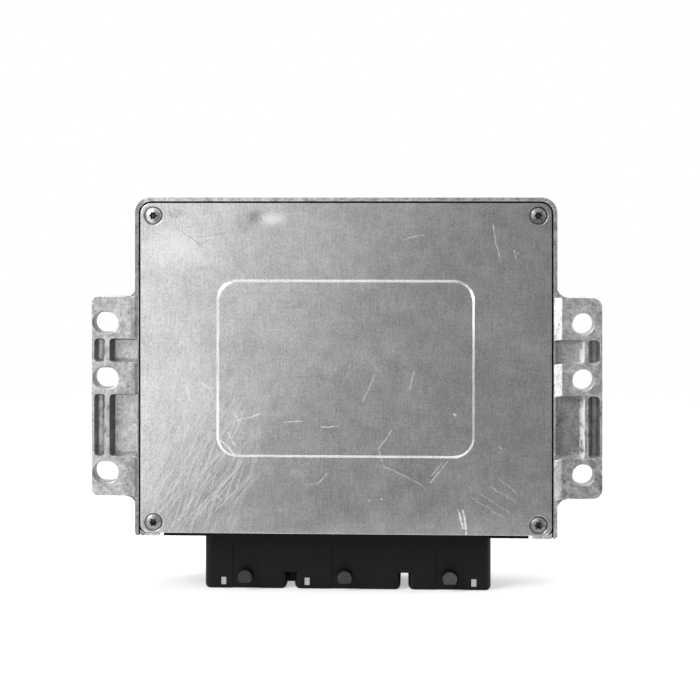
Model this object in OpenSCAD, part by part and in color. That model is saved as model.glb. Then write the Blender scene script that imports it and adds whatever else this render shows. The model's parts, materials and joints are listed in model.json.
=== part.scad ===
// Engine control unit: a cast tray with two side flanges, a stamped cover with a raised
// panel, and a three-bay connector header on whose rims the unit stands.
// X runs to the right, Y from the cover to the back and Z up from the socket rims.
// Depths are measured from the plane of the housing's rim towards the back.

/* [Housing] */
// Width of the casting over its rim
body_w = 180; // [172:1:196]
// Height of the casting
body_h = 144.6; // [136:0.2:160]
// Depth of the casting from its rim to its back
body_d = 36; // [36:0.5:44]
// Radius of the upper corners
body_top_r = 6.6; // [6:0.1:8]
// Radius of the lower corners
body_foot_r = 1.4; // [1:0.1:2.4]
// Draft of the outer walls in degrees
body_draft = 1.2; // [0:0.1:1.8]
// Rounding of the edge around the back
back_r = 3; // [1:0.25:5]
// Width of the rim around the cover
rim_w = 1.65; // [1.2:0.05:2]
// Height of the lip under the cover at the corner blocks
lip_h = 1.1; // [0.8:0.05:1.6]
// Thickness of the walls at the ledge under the cover
wall = 4; // [3.8:0.1:5]
// Thickness of the back wall
floor_t = 2.6; // [2:0.1:3]

/* [Cover] */
// Thickness of the cover sheet
cover_t = 1.6; // [1.2:0.1:2]
// Gap between the cover and the rim
cover_gap = 0.7; // [0.4:0.05:0.9]
// Gap between the cover and the lips under it
lip_gap = 0.15; // [0.1:0.05:0.4]
// Radius of the cover's upper corners
cover_top_r = 4.8; // [4:0.1:5.2]
// Radius of the cover's lower corners
cover_foot_r = 3.4; // [2.4:0.1:3.8]
// Distance of the raised panel from the cover's edges
panel_margin = 32.6; // [26:0.2:40]
// Corner radius of the raised panel
panel_r = 9; // [6:0.5:14]
// Height of the raised panel
panel_rise = 0.9; // [0.85:0.05:1.2]
// Width of the sloping shoulder around the panel
shoulder_w = 1.1; // [0.8:0.1:2]
// Thickness of the seal under the cover
cover_seal_t = 0.5; // [0.3:0.05:0.8]
// Width of the seal under the cover
cover_seal_w = 1; // [0.7:0.05:1.2]
// Distance of that seal from the cover's edge
cover_seal_in = 0.2; // [0.1:0.05:0.4]

/* [Cover screws] */
// Distance of the screws from the cover's side edges
screw_side = 5.6; // [5:0.05:6.2]
// Distance of the upper screws from the cover's top edge
screw_top = 5.4; // [4.8:0.05:6.2]
// Distance of the lower screws from the cover's bottom edge
screw_foot = 4.5; // [4.4:0.05:6]
// Radius of the screw head
head_r = 3.3; // [2.7:0.05:3.4]
// Height of the screw head
head_h = 1.3; // [1:0.05:1.35]
// Radius of the domed top of the head
head_dome_r = 6; // [5:0.25:9]
// Radius of the shank
shank_r = 1.75; // [1.4:0.05:2]
// Length of the shank
shank_l = 11; // [7:0.5:16]
// Radius of the dimple in the cover
dimple_r = 4; // [3.95:0.05:4.2]
// Depth of the dimple
dimple_d = 0.5; // [0.3:0.05:0.6]
// Pitch radius of the lobes of the drive recess
lobe_pitch_r = 1.3; // [1:0.05:1.5]
// Radius of each lobe
lobe_r = 0.42; // [0.3:0.02:0.5]
// Depth of the drive recess
lobe_d = 0.9; // [0.5:0.05:1]
// Radius of the bosses that take the cover screws
boss_r = 5.2; // [4.9:0.1:5.6]
// Radius of the pads on those bosses
boss_pad_r = 2.7; // [2.4:0.05:2.8]
// Radial clearance of a screw in a plain hole
screw_clear = 0.2; // [0.1:0.05:0.3]
// Radial clearance of a screw in its tapped hole
thread_clear = 0.05; // [0.02:0.01:0.1]

/* [Flanges] */
// Width of each flange beyond the casting
flange_w = 19.5; // [18.5:0.5:24]
// Height of each flange
flange_h = 85.8; // [82:0.2:98]
// Height of the flange's lower edge above the casting's
flange_lift = 16.2; // [10:0.2:24]
// Depth of the flange face behind the rim
flange_in = 3.8; // [2.5:0.1:6]
// Thickness of the flange
flange_t = 7.4; // [6:0.1:9]
// Radius of the right flange's outer corners
flange_r = 4.2; // [1:0.1:5]
// Radius of the left flange's outer corners
slot_flange_r = 3; // [1:0.1:5]
// Radius of the fillet between flange and casting
flange_fillet_r = 4.3; // [2:0.1:7]
// Width of the sloping root of the flange
ramp_w = 3.7; // [2.5:0.1:5]
// Width of flat rim left beside that slope
ramp_land = 0.35; // [0.2:0.05:0.8]
// Radius of the holes and of the ends of the slots
hole_r = 4.5; // [3.5:0.1:4.7]
// Distance of the hole centres from the right flange's outer edge
hole_edge = 8.2; // [7.4:0.1:9]
// Distance of the slots' outer centres from the left flange's outer edge
slot_edge = 5.3; // [5.2:0.1:6]
// Distance between the two centres of a slot
slot_extra = 1.8; // [1:0.1:2.2]
// Distance of the top hole from the flange's top edge
hole_drop = 11.2; // [8:0.1:13]
// Distance from the top hole to the middle hole
hole_step_top = 23.9; // [20:0.1:28]
// Distance of the bottom hole from the flange's bottom edge
hole_foot = 10.2; // [8:0.1:13]
// Distance of the pockets from the hole centres
pocket_gap = 6.9; // [6:0.1:8]
// Depth of the pockets
pocket_d = 5; // [3:0.1:5.4]
// Draft of the pocket walls in degrees
pocket_draft = 12; // [2:1:14]
// Draft of the outer pockets' walls at the rib in degrees
rib_draft = 26; // [12:1:28]
// Draft of the inner pockets' walls at the rib in degrees
inner_draft = 18; // [12:1:24]
// Corner radius of the pockets
pocket_r = 2; // [0.5:0.1:2.1]
// Width of the lip outside the outer pockets
pocket_lip = 1.1; // [0.8:0.1:1.6]
// Width of the outer pockets
pocket_w = 5.1; // [4.4:0.1:5.4]
// Width of the rim left beside the inner pockets
inner_land = 0.7; // [0.5:0.05:1.6]
// Width of the rib between outer and inner pockets
rib_w = 1.5; // [1.2:0.1:2.4]

/* [Header] */
// Height of the casting above the socket rims
stand_h = 23.5; // [22:0.1:30]
// Width of the corner blocks of the casting beside the plate
corner_w = 10.5; // [9.5:0.1:13]
// Thickness of that plate
plate_t = 4.3; // [3.8:0.1:4.8]
// Depth of the plate's underside below the casting's
plate_drop = 0.4; // [0.1:0.05:0.6]
// Height of the neck between the plate and the sockets
neck_h = 0.4; // [0.2:0.05:0.6]
// Distance of the neck's ends inside the sockets'
neck_in = 1; // [0.6:0.1:1.4]
// Gap between the plate and the casting
plate_gap = 1.5; // [1.2:0.1:2]
// Distance of the header seal's ends from the ledge
header_seal_in = 2.4; // [1.5:0.1:4]
// Height of the header seal
header_seal_h = 2.2; // [1.2:0.1:2.4]
// Room above the plate in the casting
plate_clear = 0.6; // [0.3:0.1:1]
// Distance of the sockets' back from the casting's back
socket_out = 4; // [3.5:0.1:6]
// Depth of the socket block from front to back
socket_d = 26; // [24:0.5:26]
// Width of the left and right sockets
socket_end_w = 35.4; // [33.4:0.2:38]
// Width of the middle socket
socket_mid_w = 45.6; // [44:0.2:48]
// Gap between the socket rims
socket_gap = 3.3; // [2:0.1:4.5]
// Height of that gap
socket_gap_h = 7.1; // [4:0.1:10]
// Radius of the upright corners of the sockets
socket_r = 3; // [2.4:0.1:4.5]
// Radius of the rim corners seen from the front
socket_rim_r = 1.9; // [0.6:0.1:2.4]
// Thickness of the socket walls
socket_wall = 1.8; // [1.4:0.1:2.2]
// Depth of the sockets
socket_h = 19.5; // [17:0.1:20]
// Offset of the header to the right
header_shift = 0.75; // [-1:0.05:1]
// Radius of the lever pegs
peg_r = 3.1; // [2.5:0.1:3.4]
// Length of the lever pegs
peg_l = 4; // [2:0.1:4]
// Height of the pegs' centres above the rims
peg_z = 5.4; // [4.4:0.1:8]
// Offset of the middle peg from the centre of its socket
peg_mid = -1.1; // [-2:0.1:2]
// Distance of the flat under each peg from its centre
peg_flat = 2.2; // [1.6:0.1:2.4]
// Width of the lever channel around each peg
channel_w = 11.6; // [9:0.2:14]
// Depth of the lever channel
channel_d = 0.35; // [0.2:0.05:0.6]
// Height of the lever channel
channel_h = 19; // [12:0.5:22]
// Width of the windows near the rims
window_w = 2.2; // [1.6:0.1:2.6]
// Height of those windows
window_h = 3.5; // [2.5:0.1:4.5]
// Height of the windows above the rims
window_z = 1.1; // [0.8:0.1:2]
// Window offset from the centre of the left socket
window_left = -9.6; // [-12:0.1:-8]
// Window offset from the centre of the middle socket
window_mid = -17.4; // [-18:0.1:-8]
// Window offset from the centre of the right socket
window_right = 10.4; // [8:0.1:12]
// Width of the lugs that carry the board
lug_w = 9; // [7:0.2:10]
// Height of the lugs
lug_h = 11; // [9:0.2:14]
// Depth of the lugs
lug_d = 8; // [6:0.2:10]
// Distance of the lugs' centres from the plate's ends
lug_end = 6.5; // [5:0.1:8]
// Height of the screws above the plate in the lugs
lug_screw = 6.6; // [4:0.1:7]

/* [Contacts] */
// Columns of contacts in the left and right sockets
end_cols = 8; // [4:1:8]
// Columns of contacts in the middle socket
mid_cols = 12; // [6:1:12]
// Rows of contacts in each socket
pin_rows = 4; // [2:1:4]
// Distance between columns
pin_pitch = 3.3; // [2.6:0.1:3.3]
// Distance between rows
row_pitch = 4; // [3:0.1:4.2]
// Side of a square contact
pin_s = 1; // [0.6:0.05:1.1]
// Clearance around a contact in its block
pin_clear = 0.04; // [0.02:0.01:0.1]
// Height of the contact tips above the rims
pin_tip_z = 10.5; // [9.5:0.1:13]
// Length of the tapered tip
pin_taper = 0.9; // [0.5:0.05:1.4]
// Rise of the first row of legs above the block
leg_rise = 2.2; // [1.8:0.1:3]
// Step between the legs of two rows
leg_step = 2.6; // [2:0.1:3.2]
// Length of a contact's tail behind the board
tail_l = 1.2; // [0.6:0.1:2]
// Margin of the terminal block at the ends of its pin rows
block_edge = 2.2; // [1.4:0.1:2.4]
// Margin of the terminal block in front of and behind its pin rows
block_edge_d = 3; // [2:0.1:3.2]
// Width of the step on which the block seats
block_step = 1.2; // [0.8:0.1:1.3]
// Height of that step above the sockets' floor
block_seat = 3.6; // [2.5:0.1:5]
// Height of the block above the plate
block_proud = 1; // [0.4:0.1:1.2]
// Clearance around the block
block_clear = 0.1; // [0.05:0.01:0.2]

/* [Board] */
// Thickness of the board
board_t = 1.6; // [1.2:0.1:2]
// Distance of the board's side edges from the plate's ends
board_side = 1.5; // [1.5:0.1:4]
// Height of the board's lower edge above the plate
board_lift = 1.6; // [1.4:0.1:2.4]
// Gap between the board's top edge and the wall
board_top_gap = 2; // [1:0.1:4]
// Height of the posts under the board
post_h = 4.3; // [3.6:0.1:5]
// Radius of the posts
post_r = 4; // [3.2:0.1:4.6]
// Distance of the posts from the board's edges
post_in = 5; // [4.6:0.1:7]
// Radius of the board screws
board_screw_r = 1.5; // [1.2:0.05:1.7]
// Radius of their heads
board_head_r = 2.8; // [2.3:0.05:3]
// Height of their heads
board_head_h = 1.8; // [1.2:0.05:2.2]
// Bite of the screws behind the board
board_bite = 5; // [3.5:0.1:5.4]
// Radius of the contact holes' clearance
tail_clear = 0.08; // [0.04:0.01:0.12]
// Thickness of the thermal pads
pad_t = 0.5; // [0.3:0.05:0.8]
// Width of a thermal pad
pad_w = 9; // [6:0.5:11]
// Height of a thermal pad
pad_h = 11; // [8:0.5:14]

/* [Components] */
// Side of the microcontroller
mcu_w = 24; // [20:1:28]
// Thickness of the microcontroller
mcu_t = 2.4; // [1.6:0.1:3.2]
// Pitch of the microcontroller's leads
fine_pitch = 0.9; // [0.7:0.05:1.2]
// Width of the microcontroller's leads
fine_lead_w = 0.4; // [0.3:0.05:0.5]
// Pitch of the leads of the other circuits
lead_pitch = 1.27; // [1:0.01:1.6]
// Width of those leads
lead_w = 0.45; // [0.3:0.05:0.6]
// Thickness of the leads
lead_t = 0.2; // [0.15:0.01:0.25]
// Gap between a package and the board
package_lift = 0.15; // [0.1:0.01:0.2]
// Length of the flash memory
flash_w = 18; // [14:1:22]
// Width of the flash memory
flash_l = 12; // [9:0.5:14]
// Thickness of the flash memory
flash_t = 2.2; // [1.6:0.1:3]
// Length of an injector driver
driver_w = 15.5; // [12:0.5:18]
// Width of an injector driver
driver_l = 11; // [8:0.5:12]
// Thickness of an injector driver
driver_t = 3.2; // [2.4:0.1:4]
// Width of an ignition transistor
igbt_w = 10; // [8:0.5:11]
// Thickness of a power package
power_t = 4.4; // [3.6:0.1:5]
// Thickness of a power package's metal tab
tab_t = 1.3; // [1:0.05:1.6]
// Length of that tab beyond the package
tab_l = 2.5; // [1.5:0.1:3]
// Length of a power package's leads
power_lead_l = 4.5; // [3:0.1:5]
// Width of a power package's leads
power_lead_w = 1; // [0.7:0.05:1.2]
// Thickness of a power package's leads
power_lead_t = 0.9; // [0.5:0.05:1.2]
// Side of the voltage regulator
reg_w = 10; // [8:0.5:12]
// Radius of an electrolytic capacitor
can_r = 6.25; // [5:0.25:8]
// Height of an electrolytic capacitor
can_h = 14; // [10:0.5:20]
// Outer radius of the choke
choke_r = 6.5; // [5:0.25:8]
// Height of the choke
choke_h = 8; // [6:0.5:12]
// Thickness of the choke's flanges
choke_lip = 1.2; // [0.8:0.1:1.8]
// Depth of the choke's winding below its flanges
choke_wound = 1.4; // [0.8:0.1:2]
// Height of a capacitor's base
can_base = 0.9; // [0.7:0.05:1.4]
// Depth of a capacitor's crimp groove
can_groove = 0.5; // [0.3:0.05:0.8]
// Height of that groove
can_groove_z = 3; // [2.4:0.1:4]
// Side of the pressure sensor
sensor_w = 8; // [7:0.5:10]
// Thickness of the pressure sensor
sensor_t = 4.4; // [3.5:0.1:5]
// Height of the sensor's port
port_h = 6.4; // [5.5:0.1:8]
// Radius of the sensor's port
port_r = 2; // [1.6:0.1:2.6]
// Length of the crystal
crystal_l = 11; // [9:0.5:13]
// Width of the crystal
crystal_w = 4.5; // [3.6:0.1:5]
// Height of the crystal
crystal_h = 3.6; // [2.8:0.1:4.4]
// Length of the supply diode
diode_l = 7; // [5:0.5:8]
// Width of the supply diode
diode_w = 6; // [5:0.1:7]
// Thickness of the supply diode
diode_t = 2.3; // [1.8:0.1:3]
// Width of the diode's leads
diode_lead_w = 3; // [2:0.1:4]
// Length of a chip capacitor
chip_l = 2; // [1.6:0.1:2.4]
// Width of a chip capacitor
chip_w = 1.2; // [0.9:0.1:1.6]
// Thickness of a chip capacitor
chip_t = 0.9; // [0.6:0.1:1.2]

/* [Hidden] */
$fn = 64;
over = 1;
thin = 0.01;

y_rim = (panel_rise - body_d) / 2;
body_z0 = stand_h;
body_z1 = stand_h + body_h;
half_w = body_w / 2;
ledge_d = cover_t + cover_seal_t;
floor_d = body_d - floor_t;
cav_x = half_w - wall;
cav_z0 = body_z0 + wall;
cav_z1 = body_z1 - wall;

seat_x = half_w - rim_w;
seat_z0 = body_z0 + lip_h;
seat_z1 = body_z1 - rim_w;
seat_foot_r = cover_foot_r + lip_gap;
cover_x = seat_x - cover_gap;
cover_z0 = seat_z0 + lip_gap;
cover_z1 = seat_z1 - cover_gap;
screw_x = cover_x - screw_side;
screw_z = [cover_z0 + screw_foot, cover_z1 - screw_top];

flange_x = half_w + flange_w;
flange_z0 = body_z0 + flange_lift;
flange_z1 = flange_z0 + flange_h;
flange_back = flange_in + flange_t;
hole_x = flange_x - hole_edge;
slot_x = flange_x - slot_edge - slot_extra;
hole_z1 = flange_z1 - hole_drop;
hole_z2 = hole_z1 - hole_step_top;
hole_z3 = flange_z0 + hole_foot;
hole_zs = [hole_z1, hole_z2, hole_z3];
pocket_zs = [[hole_z2 + pocket_gap, hole_z1 - pocket_gap],
    [hole_z3 + pocket_gap, hole_z2 - pocket_gap]];
ramp_zs = [[flange_z0, hole_z3 + pocket_gap], [hole_z2 - pocket_gap, hole_z2 + pocket_gap],
    [hole_z1 - pocket_gap, flange_z1]];
ramp_x = seat_x + ramp_land;
pocket_x1 = flange_x - pocket_lip;
pocket_x0 = pocket_x1 - pocket_w;
inner_x0 = seat_x + inner_land;
inner_x1 = pocket_x0 - rib_w;

open_x = half_w - corner_w;
plate_x = open_x - plate_gap;
plate_z0 = body_z0 - plate_drop;
plate_z1 = plate_z0 + plate_t;
plate_back = floor_d - plate_gap;
header_seal_z = (plate_z0 + plate_z1 - header_seal_h) / 2;
socket_back = body_d - socket_out;
socket_in = socket_back - socket_d;
socket_mid_d = socket_in + socket_d / 2;
socket_top = plate_z0 - neck_h;
neck_back = min(socket_back, plate_back);
socket_ws = [socket_end_w, socket_mid_w, socket_end_w];
socket_step = (socket_end_w + socket_mid_w) / 2 + socket_gap;
socket_xs = [header_shift - socket_step, header_shift, header_shift + socket_step];
block_w = socket_step + socket_end_w / 2;
peg_xs = socket_xs + [0, peg_mid, 0];
windows = [window_left, window_mid, window_right];
cols = [end_cols, mid_cols, end_cols];
seat_z = socket_h + block_seat;
block_z1 = plate_z1 + block_proud;
lug_x = plate_x - lug_end;
lug_z = plate_z1 + lug_screw;

board_back = floor_d - post_h;
board_d = board_back - board_t;
board_x = plate_x - board_side;
board_z0 = plate_z1 + board_lift;
board_z1 = cav_z1 - board_top_gap;
board_zc = (board_z0 + board_z1) / 2;
post_x = board_x - post_in;
post_zs = [board_zc, board_z1 - post_in];
tail_r = pin_s * sqrt(2) / 2 + tail_clear;

// Places of the components on the board, from its centre
mcu_at = [4, 2];
flash_at = [40, 6];
crystal_at = [4, 26];
sensor_at = [-34, 34];
regulator_at = [-52, 16];
driver_at = [[-38, -30], [-13, -30], [12, -30], [37, -30]];
igbt_at = [[30, 44], [46, 44]];
diode_at = [-52, 40];
choke_at = [-30, 10];
can_at = [[-8, 48], [10, 48]];
chip_rows = [-16, -44];
chip_cols = 14;
chip_step = 8;

// Extrudes an outline in X and Z from depth d0 to depth d1
module slab(d0, d1) {
    translate([0, y_rim + d1, 0])
        rotate([90, 0, 0])
            linear_extrude(d1 - d0) children();
}

// Extrudes an outline in X and depth from height z0 to height z1
module column(z0, z1) {
    translate([0, y_rim, z0])
        linear_extrude(z1 - z0) children();
}

// Extrudes an outline in depth and Z from x0 to x1
module beam(x0, x1) {
    translate([x0, y_rim, 0])
        rotate([90, 0, 90])
            linear_extrude(x1 - x0) children();
}

// Round bar along the depth
module rod(x, z, d0, d1, r) {
    translate([x, y_rim + d0, z])
        rotate([-90, 0, 0])
            cylinder(h = d1 - d0, r = r);
}

// Rectangle between two corners
module rect(x0, y0, x1, y1) {
    translate([x0, y0]) square([x1 - x0, y1 - y0]);
}

// Rectangle with rounded lower corners
module tongue(x0, y0, x1, y1, r) {
    rect(x0, y0 + r, x1, y1);
    rect(x0 + r, y0, x1 - r, y0 + 2 * r);
    for (x = [x0 + r, x1 - r])
        translate([x, y0 + r]) circle(r);
}

// Rectangle with its own radii at the top and at the bottom
module rounded(x0, y0, x1, y1, r_top, r_low) {
    rect(x0, y0 + r_low, x1, y1 - r_top);
    rect(x0 + r_top, y1 - 2 * r_top, x1 - r_top, y1);
    rect(x0 + r_low, y0, x1 - r_low, y0 + 2 * r_low);
    for (x = [x0 + r_top, x1 - r_top])
        translate([x, y1 - r_top]) circle(r_top);
    for (x = [x0 + r_low, x1 - r_low])
        translate([x, y0 + r_low]) circle(r_low);
}

function draft_in(d) = d * tan(body_draft);

// One cross-section of the casting, at a depth and drawn in by an inset
module body_slice(d, inset) {
    slab(d, d + thin)
        rounded(inset - half_w, body_z0 + inset, half_w - inset, body_z1 - inset,
            max(body_top_r - inset, 1), max(body_foot_r - inset, 0.5));
}

// Outside of the casting, drafted towards a rounded back
module body_shell() {
    straight = body_d - back_r;
    hull() {
        body_slice(0, 0, $fn = 48);
        body_slice(straight, draft_in(straight), $fn = 48);
        for (a = [22.5:22.5:90])
            body_slice(straight + back_r * sin(a) - thin,
                draft_in(straight) + back_r * (1 - cos(a)), $fn = 48);
    }
}

// Outline of a flange on the right, with its rounded corners and root fillets
module flange_outline(r) {
    rect(half_w - wall, flange_z0, flange_x - r, flange_z1);
    rect(half_w, flange_z0 + r, flange_x, flange_z1 - r);
    for (z = [flange_z0 + r, flange_z1 - r])
        translate([flange_x - r, z]) circle(r);
    translate([half_w, flange_z1]) root_fillet();
    translate([half_w, flange_z0]) mirror([0, 1]) root_fillet();
}

// Hollow fillet in the corner between flange and casting
module root_fillet() {
    difference() {
        translate([-rim_w, 0]) square([flange_fillet_r + rim_w, flange_fillet_r]);
        translate([flange_fillet_r, flange_fillet_r]) circle(flange_fillet_r);
    }
}

// Sloping root of the flange, from the rim down to the flange face
module ramp() {
    for (z = ramp_zs)
        column(z[0], z[1])
            polygon([[ramp_x, 0], [ramp_x + ramp_w, flange_in],
                [ramp_x + ramp_w, flange_in + rim_w], [ramp_x, flange_in + rim_w]]);
}

// What the slope takes off the corner of the rim
module ramp_cut() {
    for (z = ramp_zs)
        column(z[0], z[1])
            polygon([[ramp_x, -over], [ramp_x, 0], [ramp_x + ramp_w, flange_in],
                [ramp_x + ramp_w, -over]]);
}

// Drafted pocket between two X and two Z limits at the flange face, with its own drafts at x0
// and x1 and its rounded outline reaching beyond x0
module pocket(x0, x1, z0, z1, draft_x0, draft_x1, reach) {
    t = tan(pocket_draft);
    t0 = tan(draft_x0);
    t1 = tan(draft_x1);
    top = flange_in + over;
    intersection() {
        column(z0 - over, z1 + over)
            polygon([[x0 - top * t0, -over], [x1 + top * t1, -over],
                [x1 - pocket_d * t1, flange_in + pocket_d],
                [x0 + pocket_d * t0, flange_in + pocket_d]]);
        beam(x0 - over, x1 + over)
            polygon([[-over, z0 - top * t], [-over, z1 + top * t],
                [flange_in + pocket_d, z1 - pocket_d * t],
                [flange_in + pocket_d, z0 + pocket_d * t]]);
        slab(-over, body_d)
            rounded(x0 - reach, z0, x1, z1, pocket_r, pocket_r);
    }
}

// Three holes through a flange, or slots where they have an extra length
module flange_holes(x0, extra) {
    for (z = hole_zs)
        slab(flange_in - over, flange_back + over) {
            for (x = [x0, x0 + extra])
                translate([x, z]) circle(hole_r);
            if (extra > 0) rect(x0, z - hole_r, x0 + extra, z + hole_r);
        }
}

// Both flanges, drawn on the right and mirrored to the left
module each_side() {
    children();
    mirror([1, 0, 0]) children();
}

// Cast tray
module housing() {
    color("#b4b6b8")
    difference() {
        union() {
            difference() {
                union() {
                    body_shell();
                    slab(flange_in, flange_back) flange_outline(flange_r);
                    mirror([1, 0, 0]) slab(flange_in, flange_back) flange_outline(slot_flange_r);
                }
                each_side() ramp_cut();
                slab(-over, ledge_d) {
                    rounded(-seat_x, seat_z0, seat_x, seat_z1, cover_top_r + cover_gap, seat_foot_r);
                    rect(-seat_x, body_z0 - over, -cover_x, seat_z0 + seat_foot_r);
                    rect(cover_x, body_z0 - over, seat_x, seat_z0 + seat_foot_r);
                }
                slab(ledge_d - over, floor_d) rect(-cav_x, cav_z0, cav_x, cav_z1);
            }
            each_side() ramp();
            intersection() {
                slab(ledge_d, floor_d + thin)
                    rect(-cav_x - thin, cav_z0 - thin, cav_x + thin, cav_z1 + thin);
                each_side()
                    for (z = screw_z) rod(screw_x, z, ledge_d - over, floor_d + over, boss_r);
            }
            each_side()
                for (z = screw_z) rod(screw_x, z, cover_t, ledge_d + thin, boss_pad_r);
            each_side()
                for (z = post_zs) rod(post_x, z, board_back, floor_d + thin, post_r);
            slab(board_back + pad_t, floor_d + thin) pad_outlines();
        }
        slab(-over, floor_d) rect(-open_x, body_z0 - over, open_x, plate_z1 + plate_clear);
        each_side()
            for (z = pocket_zs) {
                pocket(pocket_x0, pocket_x1, z[0], z[1], rib_draft, pocket_draft, 0);
                pocket(inner_x0, inner_x1, z[0], z[1], 0, inner_draft, pocket_r);
            }
        flange_holes(hole_x, 0);
        mirror([1, 0, 0]) flange_holes(slot_x, slot_extra);
        each_side() {
            for (z = screw_z)
                rod(screw_x, z, cover_t - over, dimple_d + shank_l + over, shank_r + thread_clear);
            for (z = post_zs)
                rod(post_x, z, board_back - over, board_back + board_bite + thread_clear,
                    board_screw_r + thread_clear);
        }
    }
}

// Outline of the cover, drawn in by an inset
module cover_outline(inset) {
    rounded(inset - cover_x, cover_z0 + inset, cover_x - inset, cover_z1 - inset,
        cover_top_r - inset, cover_foot_r - inset);
}

// Raised panel with its sloping shoulder, its foot at depth d
module panel(d) {
    m = panel_margin;
    s = shoulder_w;
    hull() {
        slab(d, d + thin)
            rounded(m - cover_x, cover_z0 + m, cover_x - m, cover_z1 - m, panel_r, panel_r,
                $fn = 96);
        slab(d - panel_rise, d - panel_rise + thin)
            rounded(m + s - cover_x, cover_z0 + m + s, cover_x - m - s, cover_z1 - m - s,
                panel_r - s, panel_r - s, $fn = 96);
    }
}

// Stamped cover
module cover() {
    color("#c6c8c9")
    difference() {
        union() {
            slab(0, cover_t) cover_outline(0);
            panel(0);
        }
        panel(cover_t);
        each_side()
            for (z = screw_z) {
                rod(screw_x, z, -over, cover_t + over, shank_r + screw_clear);
                translate([screw_x, y_rim - over, z])
                    rotate([-90, 0, 0])
                        cylinder(h = dimple_d + over, r1 = dimple_r + over,
                            r2 = dimple_r - dimple_d);
            }
    }
}

// Six-lobe drive recess
module drive() {
    circle(lobe_pitch_r);
    for (a = [0:60:300])
        rotate(a) translate([lobe_pitch_r, 0]) circle(lobe_r);
}

// Pan-head screw with its head on the plane z = 0 and its shank below
module pan_screw(hr, hh, sr, sl, dome) {
    difference() {
        union() {
            intersection() {
                cylinder(h = hh, r = hr);
                translate([0, 0, hh - dome]) sphere(dome);
            }
            translate([0, 0, -sl]) cylinder(h = sl + hh / 4, r = sr);
        }
        translate([0, 0, hh - lobe_d]) linear_extrude(lobe_d + over) drive();
    }
}

// Screws of the cover
module cover_screws() {
    color("#a9abad")
    for (x = [-screw_x, screw_x], z = screw_z)
        translate([x, y_rim + dimple_d, z])
            rotate([90, 0, 0])
                pan_screw(head_r, head_h, shank_r, shank_l, head_dome_r);
}

// Seal between the cover and the ledge
module cover_seal() {
    color("#3a3a3c")
    difference() {
        slab(cover_t, ledge_d)
            difference() {
                cover_outline(cover_seal_in);
                cover_outline(cover_seal_in + cover_seal_w);
            }
        each_side()
            for (z = screw_z)
                rod(screw_x, z, cover_t - over, ledge_d + over, boss_pad_r + thread_clear);
    }
}

// Plan outline of one socket, drawn in by an inset
module socket_plan(i, inset) {
    hw = socket_ws[i] / 2;
    rounded(socket_xs[i] - hw + inset, socket_in + inset, socket_xs[i] + hw - inset,
        socket_back - inset, max(socket_r - inset, 0.8), max(socket_r - inset, 0.8));
}

// Outside of the three sockets with their lever channels
module socket_block() {
    difference() {
        union() {
            for (i = [0:2])
                intersection() {
                    column(0, socket_top) socket_plan(i, 0);
                    slab(socket_in - over, socket_back + over)
                        tongue(socket_xs[i] - socket_ws[i] / 2, 0,
                            socket_xs[i] + socket_ws[i] / 2, socket_top + over, socket_rim_r);
                }
            column(socket_gap_h, socket_top)
                rounded(header_shift - block_w + socket_r, socket_in, header_shift + block_w - socket_r,
                    socket_back, socket_r, socket_r);
        }
        for (x = peg_xs, d = [[socket_in - over, socket_in + channel_d],
                [socket_back - channel_d, socket_back + over]])
            slab(d[0], d[1]) rect(x - channel_w / 2, -over, x + channel_w / 2, channel_h);
    }
}

// Outline of a terminal block in plan, grown by a margin
module block_plan(i, grow) {
    bx = (cols[i] - 1) * pin_pitch / 2 + block_edge + grow;
    bd = (pin_rows - 1) * row_pitch / 2 + block_edge_d + grow;
    rect(socket_xs[i] - bx, socket_mid_d - bd, socket_xs[i] + bx, socket_mid_d + bd);
}

// Connector header: plate, sockets, lever pegs and board lugs in one moulding
module header_body() {
    color("#232325")
    difference() {
        union() {
            socket_block();
            column(socket_top - thin, plate_z0 + thin)
                rounded(header_shift - block_w + neck_in, socket_in,
                    header_shift + block_w - neck_in, neck_back, socket_r, socket_r);
            column(plate_z0, plate_z1) rect(-plate_x, ledge_d, plate_x, plate_back);
            for (x = peg_xs, d = [[socket_in - peg_l, socket_in + socket_wall / 2],
                    [socket_back - socket_wall / 2, socket_back + peg_l]])
                intersection() {
                    rod(x, peg_z, d[0], d[1], peg_r);
                    slab(d[0], d[1])
                        rect(x - peg_r, peg_z - peg_flat, x + peg_r, peg_z + peg_r);
                }
            for (x = [-lug_x, lug_x])
                column(plate_z1 - thin, plate_z1 + lug_h)
                    rect(x - lug_w / 2, board_d - lug_d, x + lug_w / 2, board_d);
        }
        for (i = [0:2]) {
            column(-over, socket_h) socket_plan(i, socket_wall);
            column(socket_h - over, seat_z) block_plan(i, block_clear);
            column(seat_z - thin, plate_z1 + over) block_plan(i, block_step + block_clear);
            slab(socket_in - over, socket_back + over)
                rect(socket_xs[i] + windows[i] - window_w / 2, window_z,
                    socket_xs[i] + windows[i] + window_w / 2, window_z + window_h);
        }
        for (x = [-lug_x, lug_x])
            rod(x, lug_z, board_back - board_t - board_bite - thread_clear, board_d + over,
                board_screw_r + thread_clear);
    }
}

// Seal between the header plate and the casting
module header_seal() {
    color("#8a4a3c")
    column(header_seal_z, header_seal_z + header_seal_h)
        difference() {
            rect(-open_x, ledge_d + header_seal_in, open_x, floor_d);
            rect(-plate_x, 0, plate_x, plate_back);
        }
}

// Screws that hold the header to the board, from behind the board
module header_screws() {
    color("#9d9fa1")
    for (x = [-lug_x, lug_x])
        translate([x, y_rim + board_back, lug_z])
            rotate([-90, 0, 0])
                pan_screw(board_head_r, board_head_h, board_screw_r, board_bite + board_t,
                    head_dome_r);
}

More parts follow.
